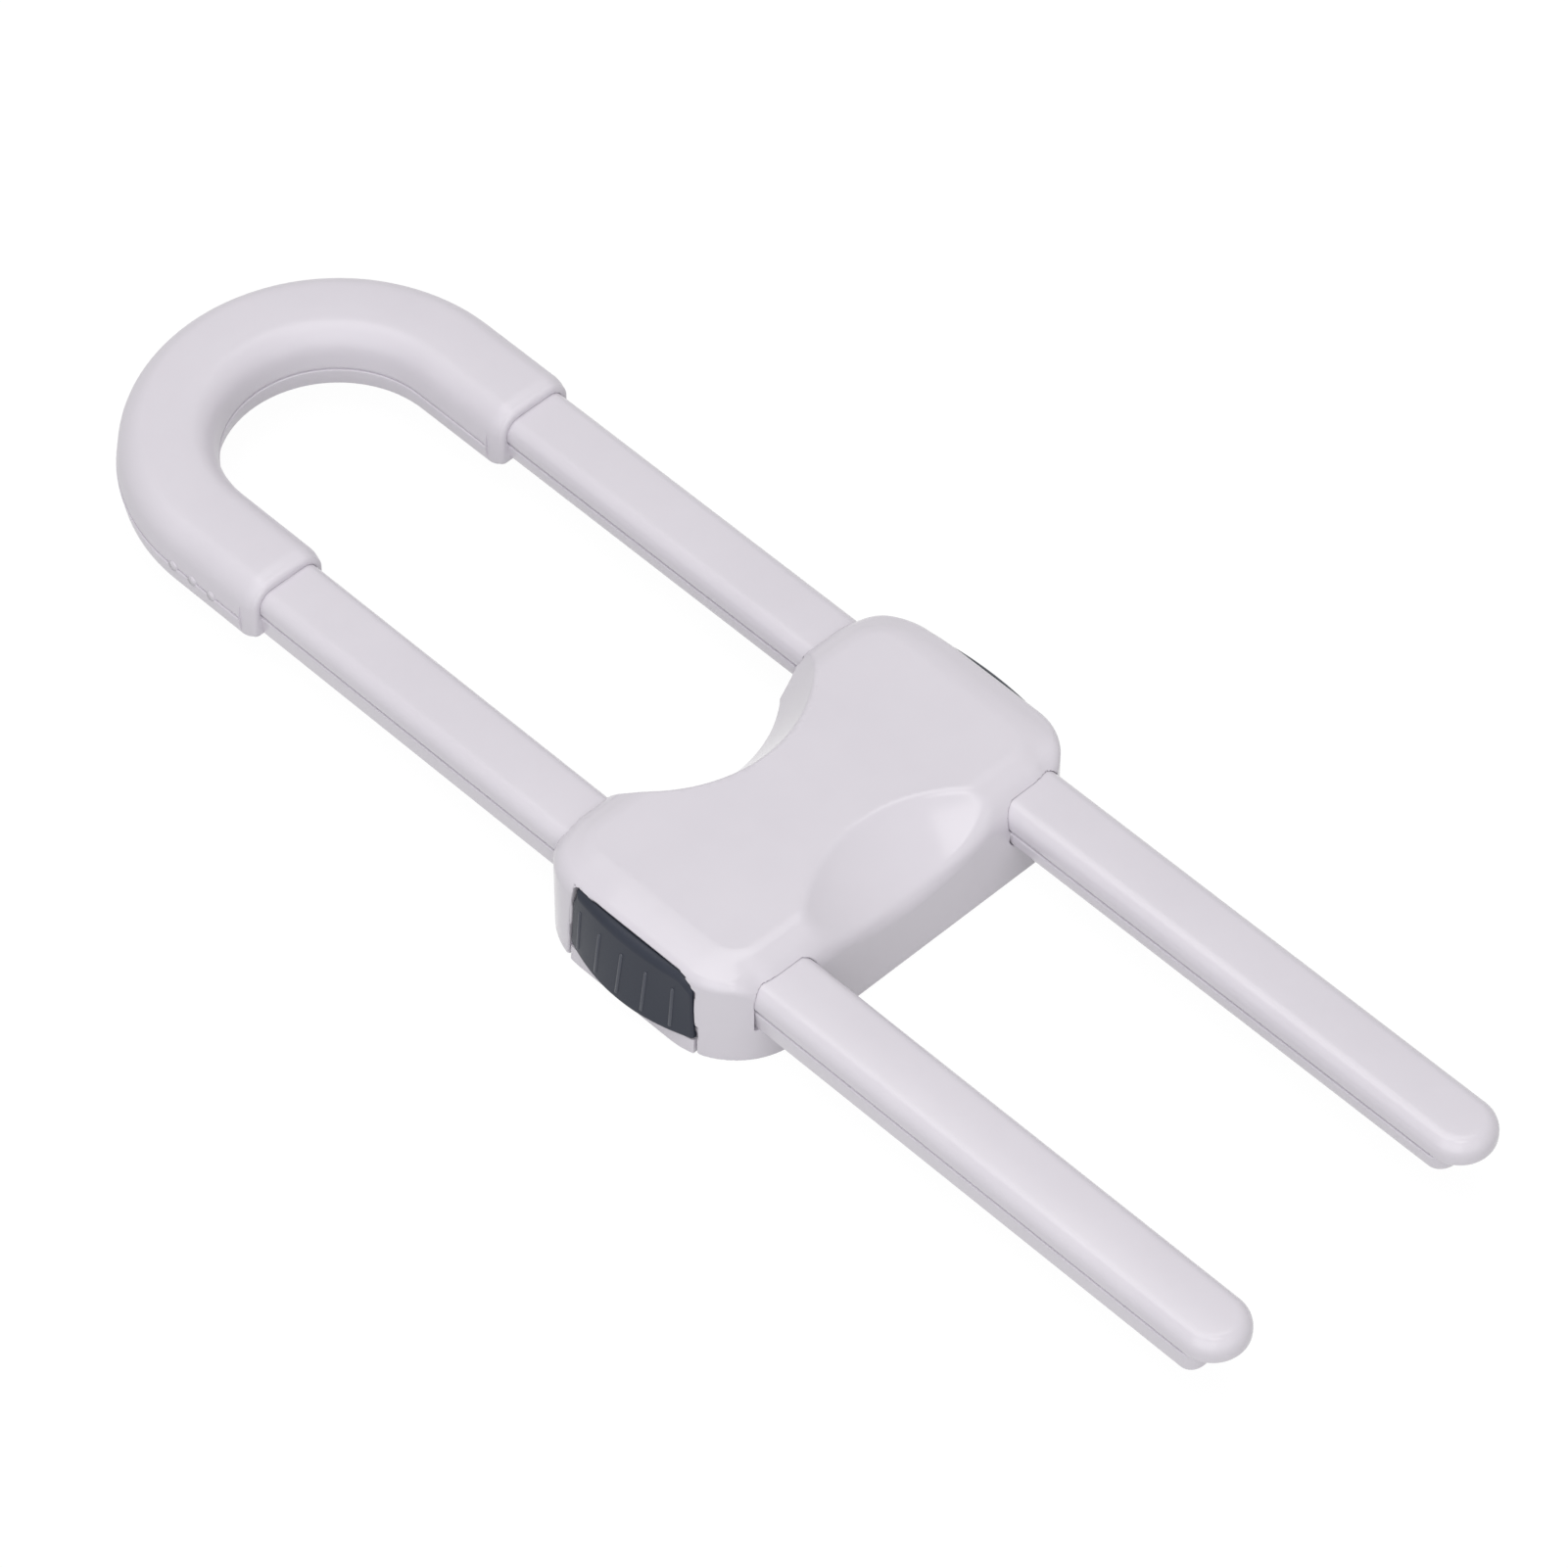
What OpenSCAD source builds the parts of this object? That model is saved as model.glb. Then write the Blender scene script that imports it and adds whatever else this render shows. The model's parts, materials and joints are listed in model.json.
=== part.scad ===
// Sliding cabinet lock: a U-shaped bar with two toothed legs, and a slider with two squeeze buttons.
// X runs along the legs towards their tips, Y from the right leg to the left one, and Z is up.
// The origin is the middle of the slider's underside. Lengths are millimetres.

/* [Legs] */
// Distance between the centrelines of the two legs
leg_pitch = 40.5; // [36:0.5:50]
// Width of a leg
leg_w = 9.2; // [8:0.1:11]
// Height of a leg's smooth bar, above the seam
leg_h = 4; // [3.4:0.1:5]
// Rise of a leg's crowned top
leg_crown = 0.5; // [0.2:0.1:1]
// Radius of a leg's top edges
leg_edge_r = 1.7; // [1:0.1:2.4]
// Radius of the edges along the seam of a leg
leg_seam_r = 0.9; // [0.2:0.1:0.9]
// Distance from the slider's middle to the leg tips
tip_reach = 90.5; // [80:0.5:120]

/* [Racks] */
// Height of the toothed strip under a leg
rack_h = 2.8; // [2.4:0.1:3.4]
// How far the strip is set in from each side of the leg
rack_inset = 0.4; // [0.2:0.1:0.8]
// Radius of the strip's lower edges
rack_edge_r = 0.7; // [0.3:0.1:1]
// Distance from the end of the strip to the leg tip
rack_end_gap = 4; // [3.5:0.1:8]
// Radius of the corners at the strip's end, in plan
rack_end_r = 2; // [1:0.1:2.2]
// Thickness of the strip above the slot
rack_web = 0.7; // [0.5:0.1:1]
// Thickness of the strip's wall behind the teeth
rack_wall = 1.3; // [1:0.1:1.6]
// Distance from one tooth to the next
tooth_pitch = 4; // [3:0.5:5]
// Height of a tooth
tooth_h = 1; // [0.8:0.1:1.2]
// Width of the key that seats the strip in the leg
key_w = 4; // [3:0.1:5]
// Height of that key
key_h = 1.6; // [1:0.1:2]

/* [Bend] */
// Distance from the slider's middle to the sleeve ends
sleeve_reach = 68.6; // [64:0.2:90]
// Straight length of each sleeve
sleeve_len = 14.3; // [12:0.1:20]
// Width of the bend's section
bend_w = 12.7; // [11.5:0.1:14]
// Height of the bend's section
bend_h = 9; // [8.4:0.1:11]
// Radius of the bend's top edges
bend_top_r = 4; // [2.5:0.1:4.5]
// Radius of the bend's bottom edges
bend_low_r = 2; // [1:0.1:2.6]
// How far the bend's underside lies below the legs
bend_drop = 0.75; // [0.3:0.05:1.5]
// Wall left round the bend's hollow
bend_wall = 2.2; // [1.6:0.1:2.8]
// Length of the closed lip at each sleeve end
lip_len = 2.2; // [1.5:0.1:3]
// How far the edges at each sleeve end are drawn in
lip_inset = 1.1; // [0.5:0.1:1.2]
// Radius of a locating peg
peg_r = 1.2; // [0.8:0.1:1.5]
// Height of a locating peg above the seam
peg_h = 3; // [2:0.1:3.2]
// Radius of the scallops on the bend's seam
scallop_r = 0.9; // [0.5:0.1:1.2]

/* [Slider] */
// Length of the slider along the legs
slider_len = 36.7; // [34:0.1:46]
// Radius of the slider's corners in plan
corner_r = 10.6; // [7:0.1:12]
// Radius of the slider's top edge
top_r = 4.9; // [2.5:0.1:5]
// Lean of the slider's sides, in degrees
draft = 3; // [1:0.5:4]
// Thickness of the slider's walls
wall = 1.9; // [1.5:0.1:2.4]
// Thickness of the roof over the legs
roof_t = 1.9; // [1.5:0.1:2.6]
// Thickness of the bottom cover
base_t = 1.8; // [1.4:0.1:2.4]
// Width of the notch in the slider's rear face
notch_w = 26.5; // [24:0.5:28]
// Depth of the notch in its upright lower part
notch_d = 5.5; // [4:0.1:6.5]
// Height of that upright part
notch_rise = 6; // [4:0.1:8]
// Lean of the notch's wall above it, in degrees
notch_lean = 34; // [15:1:38]
// Width of the thumb scoop
scoop_w = 33; // [22:0.5:34]
// How far the scoop reaches back on the top
scoop_back = 10.5; // [7:0.1:11]
// How far the scoop reaches down the front
scoop_drop = 5.2; // [4:0.1:7]

/* [Buttons] */
// Length of a button
button_len = 20.1; // [17:0.1:21]
// Height of a button
button_h = 9.1; // [7:0.1:9.2]
// Height of the tab below a button
tab_h = 2.25; // [2:0.05:3]
// Distance from a button's back to the slider's side
side_t = 3.15; // [2.8:0.05:3.6]
// How far a button's lower ends stand out from the slider's flat side, below zero if set in
button_proud = -0.4; // [-0.6:0.1:0.8]
// How far a button's face bulges
button_bulge = 2.2; // [1:0.1:3]
// Lean of a button's face, in degrees
button_lean = 7; // [4:1:12]
// Height of the bevel along a button's top
button_bevel = 0.6; // [0.6:0.1:1.6]
// Distance of the buttons in front of the slider's middle
button_shift = 0.8; // [0:0.1:2]
// How far a button is pressed
button_travel = 1.6; // [1.4:0.1:1.8]
// Number of ribs on a button
rib_count = 5; // [2:1:5]
// Distance between two ribs
rib_pitch = 3.9; // [2.5:0.1:4]
// Distance of the ribs in front of the button's middle
rib_shift = -0.6; // [-1.5:0.1:1.5]
// Radius of a rib
rib_r = 0.2; // [0.15:0.05:0.4]

/* [Latch] */
// Thickness of a latch slide
tongue_t = 3.1; // [2.6:0.1:3.6]
// Thickness of the pawl behind its teeth
pawl_t = 1.8; // [1.4:0.1:2.2]
// Thickness of a slide's upright spring seat
seat_t = 1.5; // [1.2:0.1:2]
// Distance from the slider's middle line to a spring seat
seat_reach = 9.5; // [8.5:0.1:11]
// Thickness of the cover's post between the springs
post_t = 3; // [2:0.1:4]
// Middle radius of a spring's coil
coil_r = 1.6; // [1.3:0.05:1.8]
// Radius of a spring's wire
wire_r = 0.25; // [0.2:0.01:0.3]
// Turns of a spring
coil_turns = 6; // [4:1:7]

/* [Screws] */
// Radius of a screw's shank
screw_r = 0.95; // [0.8:0.05:1.1]
// Length of a screw's shank
screw_len = 7.5; // [6:0.1:8]
// Radius of a screw's head
head_r = 1.8; // [1.5:0.05:2]
// Height of a screw's head
head_h = 1.3; // [1:0.05:1.5]
// Radius of a screw boss
boss_r = 2.4; // [2.1:0.05:2.6]

/* [Hidden] */
$fn = 64;
WHITE = [0.87, 0.85, 0.88];
GREY = [0.29, 0.29, 0.32];
NATURAL = [0.80, 0.80, 0.78];
STEEL = [0.70, 0.71, 0.73];

// Overrun of every cut past the face it opens
over = 1;
// Gap all round a leg in the slider
leg_clear = 0.25;
// Gap beside and below a latch slide
slide_clear = 0.2;
// Gap between a tooth and the pawl that rests in it
tooth_clear = 0.15;
// Gap between pieces that are pushed together
fit_clear = 0.1;
// Gap round a screw's shank
screw_clear = 0.03;
// Gap round a button in its opening
button_clear = 0.25;

// Heights, from the slider's underside up
tongue_z = base_t + slide_clear;
leg_z = tongue_z + tongue_t + leg_clear;
seam_z = leg_z + rack_h;
leg_top = seam_z + leg_h;
roof_z = leg_top + leg_clear;
slider_h = roof_z + roof_t;
bend_z = leg_z - bend_drop;
bend_top = bend_z + bend_h;
button_z = tab_h + button_clear;
opening_z = button_z + button_h + button_clear;

// Places across the legs
leg_y = leg_pitch / 2;
leg_side = leg_y + leg_w / 2;
button_y = leg_side + leg_clear + button_travel;
slider_y = button_y + side_t;
cavity_y = slider_y - wall - tan(draft) * slider_h / 2;

// Places along the legs
front_x = slider_len / 2;
bend_x = -sleeve_reach - sleeve_len;
lip_x = -sleeve_reach - lip_len;
plug_len = sleeve_len - bend_wall;
rack_end = tip_reach - rack_end_gap;
rack_len = rack_end + sleeve_reach;

// Cylinders of the notch and the sphere of the scoop, from their widths and depths
notch_r = (pow(notch_w / 2, 2) + pow(notch_d, 2)) / (2 * notch_d);
notch_x = notch_d - front_x - notch_r;
slope_r = notch_r / cos(notch_lean);
slope_x = notch_d - front_x - slope_r / cos(notch_lean);
scoop_out = (pow(scoop_w / 2, 2) - pow(scoop_back, 2)) / (2 * scoop_back);
scoop_up = (pow(scoop_w / 2, 2) - pow(scoop_drop, 2)) / (2 * scoop_drop);
scoop_r = norm([scoop_out, scoop_up, scoop_w / 2]);

// Screw bosses stand between the end walls and the latch slides
head_sink = base_t - head_h;
pad_h = base_t;
boss_x = front_x - 2 * wall - boss_r;
boss_y = leg_y - leg_w / 2 - boss_r - wall / 2;
rear_boss_x = boss_r + boss_y / 2 - front_x;

// The latch slide lies between the two rows of bosses
guide_t = wall / 2;
tongue_w = 2 * (min(boss_x - button_shift, button_shift - rear_boss_x) - boss_r - guide_t - 2 * slide_clear);
ear_w = tongue_w + 2 * guide_t;
ear_t = seat_t + fit_clear;
guide_y = seat_reach + seat_t + ear_t + slide_clear;
seat_h = tongue_t + wire_r + coil_r / 2;
spring_z = tongue_z + seat_h - coil_r - wire_r;
stud_r = coil_r - wire_r - 2 * fit_clear;
stud_len = seat_t;
snap_w = tongue_w / 2;
snap_len = side_t / 2;
snap_h = tongue_t / 2;

// Rack teeth, seen across the leg with the outer side positive
tooth_root = leg_w / 2 - rack_inset - rack_wall;
pawl_tip = tooth_root - tooth_clear;
pawl_face = pawl_tip - tooth_h;
slot_inner = pawl_face - pawl_t - button_travel - tooth_clear;
slot_h = rack_h - rack_web;
slot_start = -sleeve_reach + tooth_pitch;
pawl_teeth = floor(tongue_w / tooth_pitch);
pawl_front = button_shift + pawl_teeth * tooth_pitch / 2;
tooth_count = floor((rack_end - slot_start) / tooth_pitch);
first_tooth = pawl_front + tooth_clear - tooth_pitch * floor((pawl_front - slot_start) / tooth_pitch);
pawl_h = rack_h - rack_web - slide_clear + leg_clear;

// Pegs and scallops of the bend
peg_x = lip_x - plug_len / 2 + lip_len / 2;
peg_angles = [45, 90, 135];
scallop_count = 3;
scallop_pitch = 3 * scallop_r;
scallop_x = -sleeve_reach - sleeve_len + lip_len;
spring_len = seat_reach - post_t / 2;

// Buttons' face circle and the width of their bevel
face_r = (pow(button_len / 2, 2) + pow(button_bulge, 2)) / (2 * button_bulge);
face_y = slider_y + button_proud + button_bulge - face_r / cos(button_lean);
bevel_share = 1.5;

// A rectangle whose upper and lower corners have their own radii
module rounded(w, low, high, low_r, high_r) {
    translate([-w / 2, low + low_r]) square([w, high - low - low_r - high_r]);
    translate([low_r - w / 2, low]) square([w - 2 * low_r, low_r]);
    translate([high_r - w / 2, high - high_r]) square([w - 2 * high_r, high_r]);
    for (side = [-1, 1]) {
        translate([side * (w / 2 - low_r), low + low_r]) circle(low_r);
        translate([side * (w / 2 - high_r), high - high_r]) circle(high_r);
    }
}

// Everything on one side of a level line, for cutting a section at the seam
module half_plane(level, up) {
    translate([-leg_pitch / 2, up ? level : level - leg_pitch]) square([leg_pitch, leg_pitch]);
}

// Sections lie across the legs, with their own x along Y and their y along Z
module along_x(from, to) {
    translate([from, 0, 0]) rotate([90, 0, 90]) linear_extrude(to - from) children();
}

module leg_section(grow = 0) {
    crown_r = (pow(leg_w / 2, 2) + pow(leg_crown, 2)) / (2 * leg_crown);
    intersection() {
        rounded(leg_w + 2 * grow, seam_z - grow, leg_top + grow, leg_seam_r + grow, leg_edge_r + grow);
        translate([0, leg_top - crown_r]) circle(crown_r + grow, $fn = 4 * $fn);
    }
}

module rack_section(grow = 0) {
    width = leg_w - 2 * rack_inset + 2 * grow;
    translate([-width / 2, leg_z + rack_edge_r]) square([width, rack_h - rack_edge_r + grow]);
    translate([rack_edge_r - leg_w / 2 + rack_inset, leg_z - grow])
        square([width - 2 * (rack_edge_r + grow), rack_edge_r + grow]);
    corner = leg_w / 2 - rack_inset - rack_edge_r;
    for (side = [-1, 1]) translate([side * corner, leg_z + rack_edge_r]) circle(rack_edge_r + grow);
}

module bend_section() {
    rounded(bend_w, bend_z, bend_top, bend_low_r, bend_top_r);
}

// One part of the bend's section, swept round the arc and along both sleeves up to the lips
module bend_sweep(up) {
    translate([bend_x, 0, 0]) rotate([0, 0, 90]) rotate_extrude(angle = 180, $fn = 4 * $fn)
        translate([leg_y, 0]) bend_half(up);
    for (side = [-1, 1])
        translate([0, side * leg_y, 0]) along_x(bend_x, lip_x) bend_half(up);
}

module bend_half(up) {
    intersection() {
        bend_section();
        half_plane(seam_z, up);
    }
}

// Pegs in the two leg plugs and round the arc
module pegs(radius, low, high) {
    for (side = [-1, 1])
        translate([peg_x, side * leg_y, low]) cylinder(r = radius, h = high - low);
    arc_pegs(radius, low, high);
}

module arc_pegs(radius, low, high) {
    for (angle = peg_angles) translate([bend_x - leg_y * sin(angle), leg_y * cos(angle), low])
        cylinder(r = radius, h = high - low);
}

// Small round tabs on the outer side of each sleeve, across the seam
module scallops(radius) {
    for (side = [-1, 1], i = [0 : scallop_count - 1])
        translate([scallop_x + i * scallop_pitch, side * (leg_y + bend_w / 2), seam_z])
            rotate([side * 90, 0, 0]) cylinder(r = radius, h = bend_wall / 2);
}

module bend_upper() {
    color(WHITE) difference() {
        union() {
            bend_sweep(true);
            for (side = [-1, 1]) translate([0, side * leg_y, 0]) sleeve_lip();
        }
        bend_hollow();
        for (side = [-1, 1]) translate([0, side * leg_y, 0]) plug_pocket();
        arc_pegs(peg_r + fit_clear, seam_z - over, seam_z + peg_h + fit_clear);
        scallops(scallop_r + fit_clear);
    }
}

// Closed lip at a sleeve end, with its edges drawn in, in plan and in side view
module sleeve_lip() {
    intersection() {
        along_x(lip_x, -sleeve_reach) bend_section();
        translate([0, 0, bend_z - over]) linear_extrude(bend_h + 2 * over) lip_outline(-bend_w / 2, bend_w);
        translate([0, bend_w / 2 + over, 0]) rotate([90, 0, 0]) linear_extrude(bend_w + 2 * over)
            lip_outline(bend_z, bend_h);
    }
}

// A rectangle as long as the lip, whose sides curve in towards its end
module lip_outline(low, size) {
    radius = (pow(lip_len, 2) + pow(lip_inset, 2)) / (2 * lip_inset);
    translate([lip_x, low + radius]) square([lip_len, size - 2 * radius]);
    intersection() {
        translate([lip_x, low]) square([lip_len, size]);
        for (level = [low + radius, low + size - radius]) translate([lip_x, level]) circle(radius);
    }
}

// Hollow of the arc, with bosses left standing for the pegs
module bend_hollow() {
    difference() {
        translate([bend_x, 0, 0]) rotate([0, 0, 90]) rotate_extrude(angle = 180, $fn = 4 * $fn)
            translate([leg_y + bend_wall - bend_w / 2, seam_z - over])
                square([bend_w - 2 * bend_wall, bend_top - bend_wall - seam_z + over]);
        arc_pegs(2 * peg_r, seam_z - over, bend_top);
    }
}

module plug_pocket() {
    along_x(-sleeve_reach - plug_len - fit_clear, over - sleeve_reach) intersection() {
        leg_section(fit_clear);
        half_plane(seam_z, true);
    }
}

module bend_lower() {
    color(WHITE) union() {
        bend_sweep(false);
        pegs(peg_r, seam_z - over, seam_z + peg_h);
        intersection() {
            scallops(scallop_r);
            translate([bend_x, -leg_y - bend_w / 2, seam_z]) cube([sleeve_len, leg_pitch + bend_w, bend_h]);
        }
    }
}

// A smooth bar whose tip is its own half section turned about the end
module leg() {
    tip_x = tip_reach - leg_w / 2;
    color(WHITE) difference() {
        union() {
            along_x(-sleeve_reach - plug_len, tip_x) leg_section();
            translate([tip_x, 0, 0]) rotate([0, 0, -90]) rotate_extrude(angle = 180) intersection() {
                leg_section();
                translate([0, leg_z]) square([leg_w, leg_top]);
            }
        }
        translate([-sleeve_reach, -key_w / 2, seam_z - over])
            cube([rack_len - rack_end_r, key_w, key_h + over]);
        translate([peg_x, 0, seam_z - over]) cylinder(r = peg_r + fit_clear, h = leg_h + 2 * over);
    }
}

// The strip under the left leg; the outer side, with the teeth, is towards +Y
module rack() {
    color(WHITE) difference() {
        union() {
            along_x(-sleeve_reach, rack_end) rack_section();
            translate([fit_clear - sleeve_reach, fit_clear - key_w / 2, seam_z - rack_web / 2])
                cube([rack_len - rack_end_r - 2 * fit_clear, key_w - 2 * fit_clear,
                    key_h - fit_clear + rack_web / 2]);
        }
        difference() {
            translate([slot_start, slot_inner, leg_z - over])
                cube([rack_end - slot_start + over, tooth_root - slot_inner, slot_h + over]);
            translate([0, 0, leg_z - over]) linear_extrude(slot_h + 2 * over) rack_teeth();
        }
        rack_nose();
    }
}

module rack_teeth() {
    for (i = [0 : tooth_count - 1])
        translate([first_tooth + i * tooth_pitch, 0])
            polygon([[0, tooth_root + over], [0, tooth_root - tooth_h], [tooth_pitch, tooth_root],
                [tooth_pitch, tooth_root + over]]);
}

// Rounds the corners at the strip's end
module rack_nose() {
    corner = leg_w / 2 - rack_inset - rack_end_r;
    block = rack_end_r + over;
    for (side = [-1, 1])
        translate([rack_end - rack_end_r, side * corner, leg_z - over]) linear_extrude(rack_h + 2 * over)
            difference() {
                translate([0, side > 0 ? 0 : -block]) square([block, block]);
                circle(rack_end_r);
            }
}

// Outer form of the slider: four drafted corner posts, joined
module slider_form() {
    hull() for (sx = [-1, 1], sy = [-1, 1])
        translate([sx * (front_x - corner_r), sy * (slider_y - corner_r), 0])
            rotate_extrude($fn = 48) post_profile();
}

// Half section of a corner post: leaning side and rounded top edge
module post_profile() {
    lean = tan(draft) * (slider_h - top_r);
    arc = [for (angle = [0 : 15 : 90])
        [corner_r - lean - top_r + top_r * cos(angle), slider_h - top_r + top_r * sin(angle)]];
    polygon(concat([[0, 0], [corner_r, 0]], arc, [[0, slider_h]]));
}

// Rear notch: upright below, leaning forwards above
module notch(grow = 0) {
    translate([notch_x, 0, -over]) cylinder(r = notch_r + grow, h = slider_h + 2 * over, $fn = 2 * $fn);
    translate([slope_x, 0, notch_rise]) rotate([0, notch_lean, 0])
        cylinder(r = slope_r + grow, h = 4 * slider_h, center = true, $fn = 2 * $fn);
}

module scoop(grow = 0) {
    translate([front_x + scoop_out, 0, slider_h + scoop_up]) sphere(r = scoop_r + grow, $fn = 2 * $fn);
}

// A rectangle with round corners, centred on the slider in plan
module plan(half_x, half_y, radius) {
    square([2 * (half_x - radius), 2 * half_y], center = true);
    square([2 * half_x, 2 * (half_y - radius)], center = true);
    for (sx = [-1, 1], sy = [-1, 1])
        translate([sx * (half_x - radius), sy * (half_y - radius)]) circle(radius);
}

// Room inside the slider, clear of the walls of the notch and the scoop
module slider_cavity() {
    inner_x = front_x - wall - tan(draft) * slider_h / 2;
    inner_r = corner_r - wall;
    difference() {
        union() {
            translate([0, 0, -over]) linear_extrude(leg_z + over) plan(inner_x, cavity_y, inner_r);
            translate([0, 0, -over]) linear_extrude(roof_z + over)
                plan(inner_x, leg_side + leg_clear, inner_r);
            translate([button_shift - button_len / 2, -cavity_y, -over])
                cube([button_len, 2 * cavity_y, opening_z + over]);
        }
        notch(wall);
        scoop(wall);
        bosses(boss_r, pad_h + base_t, slider_h);
    }
}

module bosses(radius, low, high) {
    for (x = [rear_boss_x, boss_x], side = [-1, 1])
        translate([x, side * boss_y, low]) cylinder(r = radius, h = high - low);
}

// Blocks as long as a button, from a given distance out through both sides of the slider
module side_blocks(grow, inner_y, low, high) {
    half = button_len / 2 + grow;
    for (side = [-1, 1])
        translate([button_shift - half, side > 0 ? inner_y : -slider_y - over, low])
            cube([2 * half, slider_y + over - inner_y, high - low]);
}

module slider_shell() {
    color(WHITE) difference() {
        slider_form();
        notch();
        scoop();
        slider_cavity();
        for (side = [-1, 1]) translate([0, side * leg_y, 0]) along_x(-slider_len, slider_len) {
            leg_section(leg_clear);
            rack_section(leg_clear);
        }
        side_blocks(button_clear, leg_side + leg_clear, -over, opening_z);
        bosses(screw_r + screw_clear, 0, head_sink + head_h + screw_len + fit_clear);
    }
}

module slider_base() {
    inner_x = front_x - wall - tan(draft) * slider_h / 2 - fit_clear;
    color(WHITE) difference() {
        union() {
            linear_extrude(base_t) plan(inner_x, cavity_y - fit_clear, corner_r - wall);
            base_tabs();
            bosses(boss_r, base_t - over, base_t + pad_h);
            base_guides();
            base_post();
        }
        notch(wall + fit_clear);
        bosses(screw_r + fit_clear, -over, base_t + pad_h + over);
        bosses(head_r + fit_clear, -over, head_sink + head_h);
    }
}

// Tabs that close the slider's sides below the buttons, flush with its walls
module base_tabs() {
    intersection() {
        slider_form();
        side_blocks(button_clear - fit_clear, button_y + slide_clear, 0, tab_h);
    }
}

// Ribs beside each latch slide, which also stop its ears
module base_guides() {
    gap = tongue_w / 2 + slide_clear;
    for (x = [gap, -gap - guide_t], y = [guide_y, -leg_side])
        translate([button_shift + x, y, base_t - over]) cube([guide_t, leg_side - guide_y, tongue_t + over]);
}

// Post between the springs, with a stud for each
module base_post() {
    translate([button_shift - tongue_w / 4, -post_t / 2, base_t - over])
        cube([tongue_w / 2, post_t, tongue_z + seat_h - base_t + over]);
    translate([button_shift, post_t / 2 + stud_len, spring_z]) rotate([90, 0, 0])
        cylinder(r = stud_r, h = post_t + 2 * stud_len);
}

module base_screws() {
    color(STEEL) union() {
        bosses(head_r, head_sink, head_sink + head_h);
        bosses(screw_r, head_sink + head_h, head_sink + head_h + screw_len);
    }
}

// Cap of the left button, bulging and leaning, with the pocket for its latch slide
module button() {
    reach = button_h - button_bevel;
    color(GREY) difference() {
        intersection() {
            translate([button_shift - button_len / 2, button_y, button_z])
                cube([button_len, face_r, button_h]);
            translate([button_shift, face_y, button_z]) rotate([button_lean, 0, 0]) button_face();
            translate([button_shift, face_y - reach * tan(button_lean), button_z])
                cylinder(r1 = face_r + bevel_share * reach, r2 = face_r - bevel_share * button_bevel,
                    h = button_h, $fn = 4 * $fn);
        }
        translate([button_shift - snap_w / 2 - fit_clear, button_y - over, tongue_z + snap_h / 2 - fit_clear])
            cube([snap_w + 2 * fit_clear, snap_len + fit_clear + over, snap_h + 2 * fit_clear]);
    }
}

// The button's round face and its ribs, as long bars along one axis
module button_face() {
    length = 2 * face_r;
    cylinder(r = face_r, h = length, center = true, $fn = 4 * $fn);
    for (i = [0 : rib_count - 1]) {
        angle = asin(((i - (rib_count - 1) / 2) * rib_pitch + rib_shift) / face_r);
        translate([face_r * sin(angle), face_r * cos(angle), 0])
            cylinder(r = rib_r, h = length, center = true, $fn = 16);
    }
}

// Latch slide of the left button: tongue, pawl, ears, spring seat and the snap in the button
module pawl() {
    color(NATURAL) union() {
        translate([button_shift - tongue_w / 2, seat_reach + seat_t, tongue_z])
            cube([tongue_w, button_y - seat_reach - seat_t, tongue_t]);
        translate([button_shift - ear_w / 2, seat_reach + seat_t, tongue_z]) cube([ear_w, ear_t, tongue_t]);
        translate([button_shift - tongue_w / 4, seat_reach, tongue_z])
            cube([tongue_w / 2, seat_t + fit_clear, seat_h]);
        translate([button_shift, seat_reach + seat_t, spring_z]) rotate([90, 0, 0])
            cylinder(r = stud_r, h = seat_t + stud_len);
        translate([button_shift - snap_w / 2, button_y - over, tongue_z + snap_h / 2])
            cube([snap_w, snap_len + over, snap_h]);
        translate([0, leg_y, tongue_z + tongue_t - over]) linear_extrude(pawl_h + over) pawl_plan();
    }
}

module pawl_plan() {
    for (i = [0 : pawl_teeth - 1])
        translate([pawl_front - i * tooth_pitch, 0])
            polygon([[0, pawl_face - pawl_t], [0, pawl_tip], [-tooth_pitch, pawl_face],
                [-tooth_pitch, pawl_face - pawl_t]]);
}

// A coil between the cover's post and the left spring seat, as one swept tube
module spring() {
    rings_per_turn = 10;
    sides = 6;
    count = coil_turns * rings_per_turn;
    rise = (spring_len - 2 * wire_r) / count;
    function along(i, reach, shift) = [button_shift + reach * cos(360 * i / rings_per_turn),
        post_t / 2 + wire_r + i * rise + shift, spring_z + reach * sin(360 * i / rings_per_turn)];
    points = [for (i = [0 : count], k = [0 : sides - 1])
        along(i, coil_r + wire_r * cos(360 * k / sides), wire_r * sin(360 * k / sides))];
    walls = [for (i = [0 : count - 1], k = [0 : sides - 1])
        let (a = i * sides + k, b = i * sides + (k + 1) % sides)
            each [[a, a + sides, b], [b, a + sides, b + sides]]];
    first_end = [for (k = [0 : sides - 1]) k];
    last_end = [for (k = [sides - 1 : -1 : 0]) count * sides + k];
    gaps = [for (i = [0 : count - rings_per_turn])
        norm(along(i + rings_per_turn, coil_r, 0) - along(i, coil_r, 0)) - 2 * wire_r];
    echo(least_spring_gap = min(gaps));
    color(STEEL) polyhedron(points, concat(walls, [first_end, last_end]));
}

module left_leg() { translate([0, leg_y, 0]) leg(); }
module right_leg() { mirror([0, 1, 0]) left_leg(); }
module left_rack() { translate([0, leg_y, 0]) rack(); }
module right_rack() { mirror([0, 1, 0]) left_rack(); }
module left_button() { button(); }
module right_button() { mirror([0, 1, 0]) button(); }
module left_pawl() { pawl(); }
module right_pawl() { mirror([0, 1, 0]) pawl(); }
module left_spring() { spring(); }
module right_spring() { mirror([0, 1, 0]) spring(); }

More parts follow.
